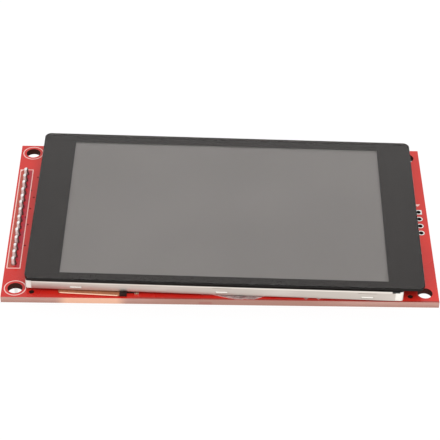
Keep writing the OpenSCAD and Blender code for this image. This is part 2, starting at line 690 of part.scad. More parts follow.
// Start and end of each strip of tape, from the board's header end
tape_strips = [[31, 41], [45, 55], [65, 83]];
tape_w = glass_w - 15.6;
module mounting_tape() color([0.9, 0.9, 0.88]) under_display() on_face() translate([-board_l / 2, 0, 0])
    for (t = tape_strips) block(t[0], t[1], -tape_w / 2, tape_w / 2, 0, ride_h + 1);

// Clear adhesive pressed out under the front edge. Its rim leaves the display's wall in a
// soft wave over the length rise, runs along the board's edge and comes back over the length fall.
function wave(u) = (1 - cos(180 * min(max(u, 0), 1))) / 2;
module adhesive_bead(x0, x1, rise, fall, reach) {
    inner_y = -board_w / 2 + 4.5;
    wall_y = -board_w / 2 + 1.7;
    translate([-board_l / 2, 0, 0]) linear_extrude(ride_h) polygon(concat(
        [for (i = [0:20]) let (x = x0 + (x1 - x0) * i / 20)
            [x, wall_y - reach * min(wave((x - x0) / rise), wave((x1 - x) / fall))]],
        [[x1, inner_y], [x0, inner_y]]));
}
module front_adhesive() color([0.85, 0.82, 0.8]) under_display() on_face() {
    adhesive_bead(46.4, 60.4, 7.2, 4.6, 1.6);
    adhesive_bead(67, 69.6, 1.3, 1.3, 1.25);
    adhesive_bead(69.8, 72, 1.1, 1.1, 1.2);
}

// ---- Card socket: x runs across its mouth, y into it, z away from the board ----

socket_x = board_l / 2 - socket_inset;
socket_contact_pitch = 2.5;
module in_socket() on_back(socket_x, board_w / 2 - 0.4) children();
rail_w = 1.3;
contact_room = 9.5;
module at_socket_contacts() for (i = [0:socket_contact_count - 1])
    translate([(i - (socket_contact_count - 1) / 2) * socket_contact_pitch, 0, 0]) children();

module socket_shell() color([0.78, 0.78, 0.79]) in_socket() difference() {
    union() {
        difference() {
            block(-socket_w / 2, socket_w / 2, 0, socket_d, 0, socket_h);
            block(-socket_w / 2 + shell_t, socket_w / 2 - shell_t, -past, socket_d + past, -past, socket_h - shell_t);
        }
        // Soldered feet
        for (sx = [-1, 1], y = [2, socket_d - 4]) translate([sx * (socket_w / 2 + 0.4), y, 0])
            block(-0.42, 0.42, 0, 1.8, 0, shell_t);
    }
    // Thumb cut-out at the mouth
    translate([0, 0, socket_h - shell_t - past]) linear_extrude(shell_t + 2 * past)
        polygon([[-7, -past], [7, -past], [5.2, 2.4], [-5.2, 2.4]]);
    // Slits that free two spring tongues, and a window over the contacts
    for (sx = [-1, 1]) translate([sx * 8.2, 9, socket_h - shell_t - past]) {
        block(-1.7, -1.3, 0, 7.5, 0, shell_t + 2 * past);
        block(1.3, 1.7, 0, 7.5, 0, shell_t + 2 * past);
        block(-1.7, 1.7, 0, 0.4, 0, shell_t + 2 * past);
    }
    block(-4.5, 4.5, socket_d - 7.5, socket_d - 5.5, socket_h - shell_t - past, socket_h + past);
    // Openings in the side walls
    for (sx = [-1, 1]) translate([sx * socket_w / 2, socket_d * 0.45, 0]) block(-past, past, 0, 4.5, 0.9, 1.7);
}

module socket_base() color([0.08, 0.08, 0.09]) in_socket() difference() {
    c = shell_t + seat_gap;
    union() {
        block(-socket_w / 2 + c, socket_w / 2 - c, socket_d - contact_room, socket_d - 0.2, 0, 0.95);
        block(-socket_w / 2 + c, socket_w / 2 - c, socket_d - 1.8, socket_d - 0.2, 0, socket_h - c);
        for (sx = [-1, 1]) translate([sx * (socket_w / 2 - c - rail_w / 2), 0, 0])
            block(-rail_w / 2, rail_w / 2, 0.6, socket_d - 0.2, 0, socket_h - c);
    }
    at_socket_contacts() {
        block(-0.55, 0.55, socket_d - contact_room - past, socket_d - 1.8 - 0.4, 0.3, socket_h);
        block(-0.55, 0.55, socket_d - contact_room - past, socket_d + past, -past, 0.3);
    }
}

module socket_contacts() color([0.87, 0.72, 0.36]) in_socket() at_socket_contacts() rotate(90)
    bent_strip([[socket_d + 0.9, 0.1], [socket_d - 2.6, 0.1], [socket_d - 3.6, 0.4], [socket_d - 7.6, 1.45],
        [socket_d - 8.3, 1.5], [socket_d - 8.9, 1.25]], 0.15, 0.95);

// ---- Chips on the back ----

// Places along X are from the pin row
shifter_x = header_x + 16;
shifter_y = 9;
shifter_pitch = 0.65;
shifter_l = shifter_side_count * shifter_pitch;
shifter_w = 4.4;
shifter_h = 0.95;
regulator_x = header_x + 10;
regulator_y = -14;
transistor_x = header_x + 21;
transistor_y = -9;
// x from the pin row, y and turn of each chip part
resistor_places = [[9.5, 3, 0], [9.5, 1, 0], [23, 5, 90], [25, 5, 90], [27, 5, 90], [21, -13.5, 0],
    [49, -6, 90], [51, -6, 90]];
capacitor_places = [[16, 14.5, 0], [5, -19, 90], [15.5, -19.5, 0], [18.5, 2.5, 90], [47, 12, 90]];
chip_l = 1.6;
chip_w = 0.8;
cap_l = 0.35;
cap_t = 0.02;

// Moulded body l long (X), w wide (Y), h high, with drafted sides and a stand-off
module drafted_view(s, h) polygon([[-s / 2 + 0.08, 0], [s / 2 - 0.08, 0], [s / 2, h * 0.45],
    [s / 2 - 0.12, h], [-s / 2 + 0.12, h], [-s / 2, h * 0.45]]);
module moulded(l, w, h, stand = 0.1) translate([0, 0, stand]) intersection() {
    rotate([90, 0, 0]) linear_extrude(w + past, center = true) drafted_view(l, h);
    rotate([90, 0, 90]) linear_extrude(l + past, center = true) drafted_view(w, h);
}

// Gull-wing lead from a body's side at height z, reaching out along +X to the foot's end
module gull_lead(z, reach, w, t = 0.13) bent_strip([[0, z], [reach * 0.3, z], [reach * 0.52, t / 2 + film_gap],
    [reach, t / 2 + film_gap]], t, w);

module level_shifter() color([0.1, 0.1, 0.11]) on_back(shifter_x, shifter_y) difference() {
    moulded(shifter_l, shifter_w, shifter_h);
    translate([-shifter_l / 2 + 0.9, shifter_w / 2 - 0.9, shifter_h]) cylinder(d = 0.7, h = past, $fn = 32);
}

module voltage_regulator() color([0.1, 0.1, 0.11]) on_back(regulator_x, regulator_y) moulded(6.5, 3.5, 1.6);
module backlight_transistor() color([0.1, 0.1, 0.11]) on_back(transistor_x, transistor_y) moulded(2.9, 1.3, 1);

module chip_leads() color([0.82, 0.82, 0.83]) {
    on_back(shifter_x, shifter_y) for (side = [0, 180]) rotate(side) for (i = [0:shifter_side_count - 1])
        translate([(i - (shifter_side_count - 1) / 2) * shifter_pitch, shifter_w / 2, 0]) rotate(90)
            gull_lead(0.1 + shifter_h * 0.45, 1, 0.24);
    on_back(regulator_x, regulator_y) {
        for (i = [-1:1]) translate([i * 2.3, 1.75, 0]) rotate(90) gull_lead(0.82, 1.75, 0.72, 0.25);
        translate([0, -1.75, 0]) rotate(-90) gull_lead(0.82, 1.75, 3, 0.25);
    }
    on_back(transistor_x, transistor_y) {
        for (i = [-1, 1]) translate([i * 0.95, 0.65, 0]) rotate(90) gull_lead(0.55, 0.55, 0.4);
        translate([0, -0.65, 0]) rotate(-90) gull_lead(0.55, 0.55, 0.4);
    }
}

// Chip parts: a ceramic block whose two ends sit in metal caps
module chip_body(h, l = chip_l, w = chip_w) translate([0, 0, cap_t]) block(-l / 2, l / 2, -w / 2, w / 2, 0, h);
module chip_caps(h, l = chip_l, w = chip_w) difference() {
    for (side = [-1, 1]) translate([side * (l / 2 + cap_t - cap_l / 2), 0, 0])
        block(-cap_l / 2, cap_l / 2, -w / 2 - cap_t, w / 2 + cap_t, 0, h + 2 * cap_t);
    chip_body(h, l, w);
}
module at_places(places) for (p = places) on_back(header_x + p[0], p[1], p[2]) children();
// The small capacitor beside the touch connector, on the display side
front_chip_h = 0.35;
module at_front_chip() translate([-board_l / 2 + 30.3, -board_w / 2 + 1.5, board_t]) children();

module chip_resistors() color([0.13, 0.13, 0.14]) at_places(resistor_places) chip_body(resistor_h);
module chip_capacitors() color([0.72, 0.6, 0.45]) {
    at_places(capacitor_places) chip_body(capacitor_h);
    at_front_chip() chip_body(front_chip_h, 1, 0.5);
}
module chip_end_caps() color([0.82, 0.82, 0.8]) {
    at_places(resistor_places) chip_caps(resistor_h);
    at_places(capacitor_places) chip_caps(capacitor_h);
    at_front_chip() chip_caps(front_chip_h, 1, 0.5);
}

circuit_board();
screen_print();
card_header_pads();
header_body();
header_pins();
header_solder();
cover_glass();
black_border();
optical_adhesive();
touch_sensor();
touch_flex();
touch_controller();
touch_connector();
touch_contacts();
gasket();
metal_frame();
white_frame();
end_seal();
front_polarizer();
color_filter_glass();
transistor_glass();
rear_polarizer();
driver_chip();
display_flex();
flex_solder();
prism_film();
diffuser_film();
light_guide();
reflector_film();
backlight_leds();
led_strip();
mounting_tape();
front_adhesive();
socket_shell();
socket_base();
socket_contacts();
level_shifter();
voltage_regulator();
backlight_transistor();
chip_leads();
chip_resistors();
chip_capacitors();
chip_end_caps();
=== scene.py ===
"""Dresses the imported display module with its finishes, adds its small relief, and sets the stage.

It is laid out as an add-on and run as a script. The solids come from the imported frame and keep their
places. Lengths in the settings are in metres, as everything in the frame is.
"""

import math

import bmesh
import bpy
import numpy as np
from bpy.props import FloatProperty, FloatVectorProperty, PointerProperty
from bpy.types import Operator, Panel, PropertyGroup
from mathutils import Matrix, Vector


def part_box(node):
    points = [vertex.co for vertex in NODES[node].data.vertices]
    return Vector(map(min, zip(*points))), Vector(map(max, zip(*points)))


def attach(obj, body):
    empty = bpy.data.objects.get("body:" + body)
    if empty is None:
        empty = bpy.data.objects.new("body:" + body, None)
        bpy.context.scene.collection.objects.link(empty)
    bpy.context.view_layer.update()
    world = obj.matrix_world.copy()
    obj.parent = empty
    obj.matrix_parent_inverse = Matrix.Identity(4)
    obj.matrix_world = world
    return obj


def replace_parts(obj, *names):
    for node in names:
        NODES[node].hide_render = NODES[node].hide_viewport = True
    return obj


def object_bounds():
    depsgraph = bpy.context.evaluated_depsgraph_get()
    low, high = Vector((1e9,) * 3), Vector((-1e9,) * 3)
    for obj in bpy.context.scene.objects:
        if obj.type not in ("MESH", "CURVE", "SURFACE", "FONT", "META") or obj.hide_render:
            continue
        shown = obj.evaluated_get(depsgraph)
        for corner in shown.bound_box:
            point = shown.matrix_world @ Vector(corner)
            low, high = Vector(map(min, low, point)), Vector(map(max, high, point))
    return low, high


bl_info = {
    "name": "Display module",
    "version": (1, 0, 0),
    "blender": (4, 5, 0),
    "location": "View3D > Sidebar > Display module",
    "description": "Finishes, solder, adhesive and stage for a colour display module",
    "category": "Object",
}

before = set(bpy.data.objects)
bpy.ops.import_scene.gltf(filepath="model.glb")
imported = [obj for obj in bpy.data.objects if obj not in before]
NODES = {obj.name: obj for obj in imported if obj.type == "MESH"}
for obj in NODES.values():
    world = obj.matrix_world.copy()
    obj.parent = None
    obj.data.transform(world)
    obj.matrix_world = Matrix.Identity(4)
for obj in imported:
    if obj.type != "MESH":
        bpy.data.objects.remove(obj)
CAD_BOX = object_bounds()
MM = 0.001
BOARD_LOW, BOARD_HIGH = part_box("circuit_board")
PINS_LOW, PINS_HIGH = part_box("header_pins")
PIN_X = (PINS_LOW.x + PINS_HIGH.x) / 2
PITCH = 2.54 * MM
PIN_SIDE = 0.64 * MM
PIN_COUNT = round((PINS_HIGH.y - PINS_LOW.y - PIN_SIDE) / PITCH) + 1
PIN_ROWS = np.arange(PIN_COUNT) - (PIN_COUNT - 1) / 2

# Where the mask's bare rim fades in along X
RIM_START = (-21 * MM, -17 * MM)
# Stretches of the board's front edge along X: start, end, and how soft the ends are
DARKER_EDGE = (-22 * MM, 32 * MM, 14 * MM)
# Stretch of the front edge painted paler: a painted glow of light that comes through the laminate there
GLOW_EDGE = (-37 * MM, -20.5 * MM, 3 * MM)
TAB_EDGE = (-5 * MM, -1.6 * MM, 0.5 * MM)
# Covered vias beside the header, in millimetres from the middle of the pin row
FRONT_VIAS = (
    (2.9, 15.2), (2.5, 7.5), (2.0, 3.3), (3.0, 0.4), (1.9, -2.6), (1.2, 0.1), (1.7, 10.1), (1.9, -10.1)
)
# Adhesive beads in millimetres: start and end from the board's near end, rise, fall and reach
ADHESIVE_BEADS = (
    (45.6, 60.8, 7.6, 5.0, 1.5), (66.8, 69.6, 1.4, 1.4, 1.2), (69.8, 72.2, 1.2, 1.2, 1.15)
)
# Clear layers under the glass: material, IOR, tint and CAD node
CLEAR_LAYERS = (
    ("Optical adhesive", 1.01, (1, 1, 1), "optical_adhesive"),
    ("Touch sensor", 1.02, (0.98, 0.98, 0.975), "touch_sensor"),
)


# ---- Settings ----


def setting(name, description, default, **options):
    """A number that a user can change."""
    return FloatProperty(name=name, description=description, default=default, **options)


def length(name, description, default, low=0.0, high=0.2):
    """A length in metres."""
    return setting(name, description, default, min=low, max=high, precision=5, unit="LENGTH")


def angle(name, description, degrees):
    """An angle, given in degrees."""
    return setting(name, description, math.radians(degrees), unit="ROTATION")


def share(name, description, default):
    """A number from 0 to 1."""
    return setting(name, description, default, min=0, max=1, subtype="FACTOR")


def lengths(name, description, default, **options):
    """Several lengths in metres."""
    count = len(default)
    return FloatVectorProperty(
        name=name, description=description, default=default, size=count, unit="LENGTH", **options
    )


def colour(name, description, default):
    """A linear colour."""
    return FloatVectorProperty(
        name=name, description=description, default=default, min=0, max=1, size=3, subtype="COLOR"
    )


class BoardSettings(PropertyGroup):
    """Colours of the circuit board and the relief under its mask."""

    mask: colour("Mask", "Solder mask over copper", (0.62, 0.022, 0.012))
    mask_bare: colour("Bare mask", "Solder mask with no copper under it", (0.50, 0.014, 0.010))
    laminate: colour("Laminate", "Cut edge of the glass-fibre board", (0.52, 0.30, 0.255))
    laminate_dark: colour("Laminate shade", "Lower plies of the cut edge", (0.36, 0.195, 0.155))
    # Painted glow: light that comes through the laminate on a stretch of the front edge
    laminate_glow: colour("Pale laminate", "Paler stretch of the front edge", (0.98, 0.57, 0.38))
    laminate_tab: colour("Break-off tab", "Broken stub on the front edge", (0.34, 0.13, 0.11))
    # Painted shade: nearly black walls in the mounting holes, for the shade inside them
    hole_wall_shade: colour("Hole wall", "Drilled wall of the mounting holes", (0.055, 0.018, 0.014))
    print_ink: colour("Print", "Screen-printed ink", (0.86, 0.56, 0.52))
    bare_rim: colour("Bare rim", "Mask past the copper, along the front edge", (0.30, 0.036, 0.026))
    rim_width: length("Rim width", "Width of the bare rim along the front edge", 0.47 * MM)
    flux: colour("Flux", "Resin round the pins, away from the display", (0.34, 0.075, 0.042))
    flux_inner: colour("Inner flux", "Resin round the pins, towards the display", (0.36, 0.010, 0.034))
    trace_width: length("Trace width", "Width of a copper trace", 0.30 * MM)
    trace_height: length("Trace height", "Rise of the mask over a trace", 0.02 * MM)
    via_radius: length("Via radius", "Radius of a covered via", 0.27 * MM)
    via_rise: length("Via rise", "Rise of the mask over a covered via", 0.03 * MM)


class HeaderSettings(PropertyGroup):
    """Form of the solder joints on the pin header."""

    foot_radius: length("Foot radius", "Radius of a solder joint on the board", 0.66 * MM)
    tip_radius: length("Tip radius", "Radius of a solder joint round the pin's end", 0.48 * MM)
    joint_height: length("Height", "Height of a solder joint, over the pin's end", 2.1 * MM)
    unevenness: share("Unevenness", "How much the joints differ from each other", 0.35)
    solder: colour("Solder", "Bright tin alloy", (0.90, 0.89, 0.87))
    # Resin at the joints' foot, with painted shade there; a much darker copy is the painted shade on
    # the side facing the display
    stain: colour("Resin stain", "Foot of a solder joint", (0.22, 0.045, 0.04))
    stain_and_shade_height: length("Stain height", "Height that the resin stain reaches", 0.7 * MM)


class GlassSettings(PropertyGroup):
    """Cover glass and what shows through it."""

    glass_ior: setting("IOR", "Refraction of the cover glass", 1.32, min=1, max=2)
    thickness: length("Thickness", "Thickness of the cover glass", 0.7 * MM)
    corner: length("Corner", "Radius of the glass's corners", 1.5 * MM)
    ground: length("Ground edge", "Width of the ground chamfer round both faces", 0.06 * MM)
    near_reach: length("Near reach", "Reach of the glass past its solid at the header end", 0.5 * MM)
    far_reach: length("Far reach", "Reach of the glass past its solid at the far end", 0.2 * MM)
    border_sides: lengths(
        "Border", "Width of the printed border: near, far, front and back",
        (7.15 * MM, 7.8 * MM, 2.65 * MM, 2.6 * MM),
    )
    roll: angle("Roll", "Rise of the display towards its flexes", 0.52)
    yaw: angle("Yaw", "Turn of the glass on the board", -0.77)
    window: colour("Window", "The unlit display behind the glass", (0.44, 0.409, 0.394))
    border: colour("Border", "Ink printed under the glass", (0.0105, 0.0078, 0.0062))


class DisplaySettings(PropertyGroup):
    """Frame and plastics of the display under the glass."""

    steel: colour("Steel", "Folded metal frame", (0.70, 0.635, 0.575))
    plastic: colour("White plastic", "Moulded frame", (0.85, 0.825, 0.765))
    amber: colour("Amber film", "Flexible circuits", (0.50, 0.19, 0.095))
    adhesive: colour("Adhesive", "Pressed-out clear adhesive", (0.95, 0.66, 0.63))
    # Painted shadow: the dark band under the glass's edge on the frame's walls, in the two tape colours
    tape: colour("Tape", "Black tape over the metal frame", (0.035, 0.03, 0.026))
    shadow_on_plastic: colour("Tape on plastic", "Black tape over the white frame", (0.03, 0.028, 0.026))
    # Reach and slant of the painted shadow under the glass's edge
    shadow_reach: length("Tape reach", "Drop of the black tape's edge at the header end", 0.43 * MM)
    shadow_slant: setting("Tape slant", "Rise of the tape's edge on the wall towards the far end", 0.005)
    # Painted highlight: a bright band on the steel's bend under the painted shadow
    fold: colour("Fold", "Bright fold of the steel under the tape", (0.90, 0.84, 0.77))
    fold_highlight_height: length("Fold height", "Height of the bright fold", 0.34 * MM)
    # Painted highlight: the bright edge of the flex, carried by the film rim's colour
    film_rim_highlight: colour("Film rim", "Clear cover film that stands out round the flex", (1.0, 0.62, 0.44))


class StageSettings(PropertyGroup):
    """Camera, floor and light."""

    target: lengths(
        "Target", "Point that the camera looks at", (-0.118 * MM, -4.071 * MM, 5 * MM), subtype="XYZ"
    )
    distance: length("Distance", "From the target to the camera", 396.41 * MM, 0.1, 2.0)
    azimuth: angle("Azimuth", "Turn of the view from straight ahead", 0.817)
    elevation: angle("Elevation", "Height of the camera as an angle", 39.796)
    roll: angle("Roll", "Tilt of the camera about its own axis", 1.291)
    lens: setting("Lens", "Focal length in millimetres", 139.54, min=10, max=400)
    ambient: setting("Ambient", "Light from all round", 0.80, min=0, max=2)
    lamp_power: setting("Lamp", "Power of the soft lamp", 3.0, min=0, max=100, unit="POWER")
    lamp_size: length("Lamp size", "Width of the soft lamp", 0.5, 0.0, 2.0)
    lamp_place: lengths("Lamp place", "Where the soft lamp hangs", (0.10, -0.35, 0.65), subtype="XYZ")
    floor_half: length("Floor", "Half the side of the floor", 6.0, 0.0, 20.0)
    floor_white: share("Floor white", "Share of light that the floor throws back", 0.9)
    floor_glow: share("Floor glow", "Share of the floor's white that no shadow takes away", 0.95)
    glow_strength: setting("Glow", "Brightness of the steady share", 1.03, min=0, max=2)


# ---- Node helpers ----


def settings(name):
    """One page of the scene's settings."""
    return getattr(bpy.context.scene, "module_" + name)


def add_node(tree, kind, **values):
    """A new node with its own values."""
    node = tree.nodes.new(kind)
    for key, value in values.items():
        setattr(node, key, value)
    return node


def feed(tree, socket, value):
    """Links a node's output to a socket, or sets the socket to a plain value. Colours are opaque."""
    if isinstance(value, bpy.types.NodeSocket):
        tree.links.new(value, socket)
    else:
        socket.default_value = (*value, 1.0) if socket.type == "RGBA" else value


def number(tree, operation, *values):
    """Result of a Math node."""
    node = add_node(tree, "ShaderNodeMath", operation=operation)
    for socket, value in zip(node.inputs, values):
        feed(tree, socket, value)
    return node.outputs[0]


def product(tree, first, *others):
    """Values multiplied one after another."""
    for other in others:
        first = number(tree, "MULTIPLY", first, other)
    return first


def blend(tree, mask, first, second, kind="RGBA"):
    """first where mask is 0, second where it is 1. kind is RGBA for colours and FLOAT for numbers."""
    node = add_node(tree, "ShaderNodeMix", data_type=kind)
    for socket, value in zip([entry for entry in node.inputs if entry.enabled], (mask, first, second)):
        feed(tree, socket, value)
    return next(entry for entry in node.outputs if entry.enabled)


def ramp(tree, value, low, high, to_low=0.0, to_high=1.0):
    """value taken smoothly from low..high to to_low..to_high, held outside."""
    node = add_node(tree, "ShaderNodeMapRange", interpolation_type="SMOOTHSTEP")
    for socket, entry in zip(node.inputs, (value, low, high, to_low, to_high)):
        feed(tree, socket, entry)
    return node.outputs[0]


def object_point(tree):
    """The point's own place on the object."""
    return add_node(tree, "ShaderNodeTexCoord").outputs["Object"]


def split(tree, vector):
    """The three parts of a vector."""
    node = add_node(tree, "ShaderNodeSeparateXYZ")
    feed(tree, node.inputs[0], vector)
    return node.outputs


def facing(tree):
    """The three parts of the surface's outward direction."""
    return split(tree, add_node(tree, "ShaderNodeNewGeometry").outputs["Normal"])


def level(tree):
    """1 on faces that look straight up or down, and 0 on upright ones."""
    return number(tree, "ABSOLUTE", facing(tree)[2])


def within(tree, value, limit):
    """1 where value lies nearer to zero than limit, else 0."""
    return number(tree, "LESS_THAN", number(tree, "ABSOLUTE", value), limit)


def stretch(tree, vector, scale):
    """vector with its parts multiplied by scale."""
    node = add_node(tree, "ShaderNodeMapping")
    feed(tree, node.inputs["Vector"], vector)
    node.inputs["Scale"].default_value = scale
    return node.outputs[0]


FLOAT, COLOUR, VECTOR = "NodeSocketFloat", "NodeSocketColor", "NodeSocketVector"


def new_group(name, outputs, **inputs):
    """An empty node group and its two end nodes. Each output has the kind of its socket, and each input
    has either that or, for a number, its default."""
    group = bpy.data.node_groups.new(name, "ShaderNodeTree")
    for title, value in inputs.items():
        plain = isinstance(value, float)
        kind = FLOAT if plain else value
        socket = group.interface.new_socket(title, in_out="INPUT", socket_type=kind)
        if plain:
            socket.default_value = value
    for title, kind in outputs.items():
        group.interface.new_socket(title, in_out="OUTPUT", socket_type=kind)
    return group, group.nodes.new("NodeGroupInput").outputs, group.nodes.new("NodeGroupOutput").inputs


def noise(tree, vector, scale, detail):
    """Noise at a point."""
    node = add_node(tree, "ShaderNodeTexNoise")
    for title, value in (("Vector", vector), ("Scale", scale), ("Detail", detail)):
        feed(tree, node.inputs[title], value)
    return node.outputs[0]


def mottle_group():
    """Two colours in soft patches. The mask is smoothed noise, and Spread is its middle's width."""
    group, given, result = new_group(
        "Mottle", {"Color": COLOUR, "Mask": FLOAT},
        Vector=VECTOR, First=COLOUR, Second=COLOUR, Scale=100.0, Spread=0.15,
    )
    low = number(group, "SUBTRACT", 0.5, given["Spread"])
    high = number(group, "ADD", 0.5, given["Spread"])
    mask = ramp(group, noise(group, given["Vector"], given["Scale"], 3), low, high)
    feed(group, result["Color"], blend(group, mask, given["First"], given["Second"]))
    feed(group, result["Mask"], mask)
    return group


def grain_group():
    """Height of a fine moulded or cast grain: a coarse noise with a quarter of a finer one on top."""
    group, given, result = new_group("Grain", {"Height": FLOAT}, Vector=VECTOR, Scale=1000.0)
    coarse = noise(group, given["Vector"], given["Scale"], 2)
    fine = noise(group, given["Vector"], product(group, given["Scale"], 3.7), 2)
    feed(group, result["Height"], number(group, "ADD", coarse, product(group, fine, 0.25)))
    return group


def speck_group():
    """Round specks: cells whose middle is nearer than Size, in the share Amount of the cells."""
    group, given, result = new_group(
        "Specks", {"Mask": FLOAT}, Vector=VECTOR, Scale=500.0, Size=0.2, Amount=0.1
    )
    cells = add_node(group, "ShaderNodeTexVoronoi", feature="F1")
    feed(group, cells.inputs["Vector"], given["Vector"])
    feed(group, cells.inputs["Scale"], given["Scale"])
    near = number(group, "LESS_THAN", cells.outputs["Distance"], given["Size"])
    chosen = number(group, "LESS_THAN", split(group, cells.outputs["Color"])[0], given["Amount"])
    feed(group, result["Mask"], product(group, near, chosen))
    return group


def band_group():
    """1 where Value lies between Low and High, with edges as soft as Softness."""
    group, given, result = new_group(
        "Band", {"Mask": FLOAT}, Value=0.0, Low=0.0, High=1.0, Softness=0.1
    )
    end = number(group, "ADD", given["Low"], given["Softness"])
    start = number(group, "SUBTRACT", given["High"], given["Softness"])
    rise = ramp(group, given["Value"], given["Low"], end)
    fall = ramp(group, given["Value"], start, given["High"], 1.0, 0.0)
    feed(group, result["Mask"], product(group, rise, fall))
    return group


GROUPS = {"Mottle": mottle_group, "Grain": grain_group, "Specks": speck_group, "Band": band_group}


def use_group(tree, name, **values):
    """Places a shared group in a material with its own values, and gives its outputs."""
    group = bpy.data.node_groups.get(name) or GROUPS[name]()
    node = add_node(tree, "ShaderNodeGroup", node_tree=group)
    for key, value in values.items():
        feed(tree, node.inputs[key.title()], value)
    return node.outputs


def mottle(tree, vector, first, second, scale, spread):
    """Two colours in soft patches, and the patches' mask."""
    values = {"vector": vector, "first": first, "second": second, "scale": scale, "spread": spread}
    return use_group(tree, "Mottle", **values)


def band(tree, value, low, high, softness):
    """1 where value lies between low and high, and 0 outside."""
    return use_group(tree, "Band", value=value, low=low, high=high, softness=softness)["Mask"]


PLAIN_SOCKETS = {"ior": "IOR", "specular": "Specular IOR Level", "transmission": "Transmission Weight"}


def new_material(name, **values):
    """A material, its node tree and its shader with plain values on the shader's own sockets."""
    material = bpy.data.materials.new(name)
    material.use_nodes = True
    shader = material.node_tree.nodes["Principled BSDF"]
    for key, value in values.items():
        title = PLAIN_SOCKETS.get(key, key.replace("_", " ").title())
        feed(material.node_tree, shader.inputs[title], value)
    return material, material.node_tree, shader.inputs


def grain(tree, inputs, point, scale, strength, distance):
    """Gives the shader the relief of a fine grain. Distance is its depth in metres."""
    height = use_group(tree, "Grain", vector=point, scale=scale)["Height"]
    node = add_node(tree, "ShaderNodeBump")
    node.inputs["Strength"].default_value = strength
    node.inputs["Distance"].default_value = distance
    feed(tree, node.inputs["Height"], height)
    feed(tree, inputs["Normal"], node.outputs[0])


def shade(rgb, factor):
    """rgb made darker or lighter."""
    return tuple(min(1.0, part * factor) for part in rgb)


# ---- Materials ----


def simple_material(
    name, first, second, rough, patch=300.0, fine=2500.0, depth=0.01 * MM, scale=(1, 1, 1), **values
):
    """A finish of soft colour patches, uneven gloss and a fine grain, from one point."""
    material, tree, inputs = new_material(name, **values)
    point = stretch(tree, object_point(tree), scale)
    patches = mottle(tree, point, first, second, patch, 0.2)
    feed(tree, inputs["Base Color"], patches["Color"])
    feed(tree, inputs["Roughness"], ramp(tree, patches["Mask"], 0.0, 1.0, *rough))
    grain(tree, inputs, point, fine, 0.3, depth)
    return material


def metal_material(name, tint, rough, **finish):
    """Bare metal: brushed where its scale is uneven, and patchy in gloss."""
    finish = {"patch": 400.0, "fine": 1500.0, "depth": 0.004 * MM, **finish}
    return simple_material(name, tint, shade(tint, 0.9), rough, metallic=1.0, **finish)


def board_skin(tree, point, mask):
    """Colour of the board's faces: the mask, resin beside the pins and a bare rim in front."""
    s = settings("board")
    x, y = split(tree, point)[:2]
    skin = mask["Color"]
    uneven = use_group(tree, "Mottle", vector=point, scale=900.0, spread=0.35)["Mask"]
    amount = ramp(tree, uneven, 0.0, 1.0, 0.35, 0.95)
    beside = within(tree, y, PINS_HIGH.y + 0.9 * MM)
    for start, end, resin in ((-1.5, -0.1, s.flux), (0.1, 1.7, s.flux_inner)):
        film = band(tree, x, PIN_X + start * MM, PIN_X + end * MM, 0.2 * MM)
        skin = blend(tree, product(tree, film, beside, amount), skin, resin)
    near_edge = number(tree, "LESS_THAN", y, BOARD_LOW.y + s.rim_width)
    bare = product(tree, near_edge, ramp(tree, x, *RIM_START), 0.85)
    return blend(tree, bare, skin, s.bare_rim)


def board_edge(tree, point):
    """Colour of the cut laminate: plies across its thickness, fibres along them, a darker stretch along
    X, a painted glow of light through the laminate and a break-off tab on the front edge, and painted
    shade on the walls of the holes."""
    s = settings("board")
    x, y, z = split(tree, point)[:3]
    along = stretch(tree, point, (1, 1, 14))
    fibres = mottle(tree, along, s.laminate, shade(s.laminate, 0.84), 420.0, 0.25)["Color"]
    lower = blend(tree, 0.35, s.laminate_dark, fibres)
    plies = blend(tree, ramp(tree, z, 0.25 * MM, 1.15 * MM), lower, fibres)
    front = number(tree, "LESS_THAN", y, BOARD_LOW.y + 0.05 * MM)
    # A darker stretch of the laminate along X
    darker_stretch = product(tree, band(tree, x, *DARKER_EDGE), 0.8)
    # Painted glow on the front edge, for light that comes through the laminate
    pale = product(tree, band(tree, x, *GLOW_EDGE), front, 0.6)
    tab = product(tree, band(tree, x, *TAB_EDGE), front, ramp(tree, z, 1.1 * MM, 0.6 * MM, 0.0, 0.6))
    for mask, tint in ((darker_stretch, s.laminate_dark), (pale, s.laminate_glow), (tab, s.laminate_tab)):
        plies = blend(tree, mask, plies, tint)
    # Painted shade on the walls of the holes
    inside_x = within(tree, x, BOARD_HIGH.x - 0.1 * MM)
    inside_y = within(tree, y, BOARD_HIGH.y - 0.15 * MM)
    return blend(tree, product(tree, inside_x, inside_y), plies, s.hole_wall_shade)


def board_material():
    """Red mask on the faces, the laminate's plies on the cut edges, and painted shade in the holes."""
    s = settings("board")
    material, tree, inputs = new_material("Red board")
    point = object_point(tree)
    face = ramp(tree, level(tree), 0.4, 0.6)
    mask = mottle(tree, point, s.mask_bare, s.mask, 70.0, 0.3)
    skin, edge = board_skin(tree, point, mask), board_edge(tree, point)
    feed(tree, inputs["Base Color"], blend(tree, face, edge, skin))
    gloss = ramp(tree, mask["Mask"], 0.0, 1.0, 0.26, 0.32)
    feed(tree, inputs["Roughness"], blend(tree, face, 0.8, gloss, "FLOAT"))
    feed(tree, inputs["Specular IOR Level"], blend(tree, face, 0.1, 0.5, "FLOAT"))
    grain(tree, inputs, point, 900.0, 0.35, 0.006 * MM)
    return material


def mask_material():
    """The same red mask, for the relief over traces."""
    s = settings("board")
    light = shade(s.mask, 1.12)
    finish = {"patch": 70.0, "fine": 900.0, "depth": 0.006 * MM}
    return simple_material("Mask over copper", light, s.mask, (0.26, 0.32), **finish)


def via_material():
    """Covered vias, darker where the mask dips into the hole: partly the hole under the mask and partly
    painted shade of the dip.
    """
    bare = settings("board").mask_bare
    finish = {"patch": 900.0, "specular": 0.12}
    return simple_material("Covered via", shade(bare, 0.16), shade(bare, 0.3), (0.3, 0.4), **finish)


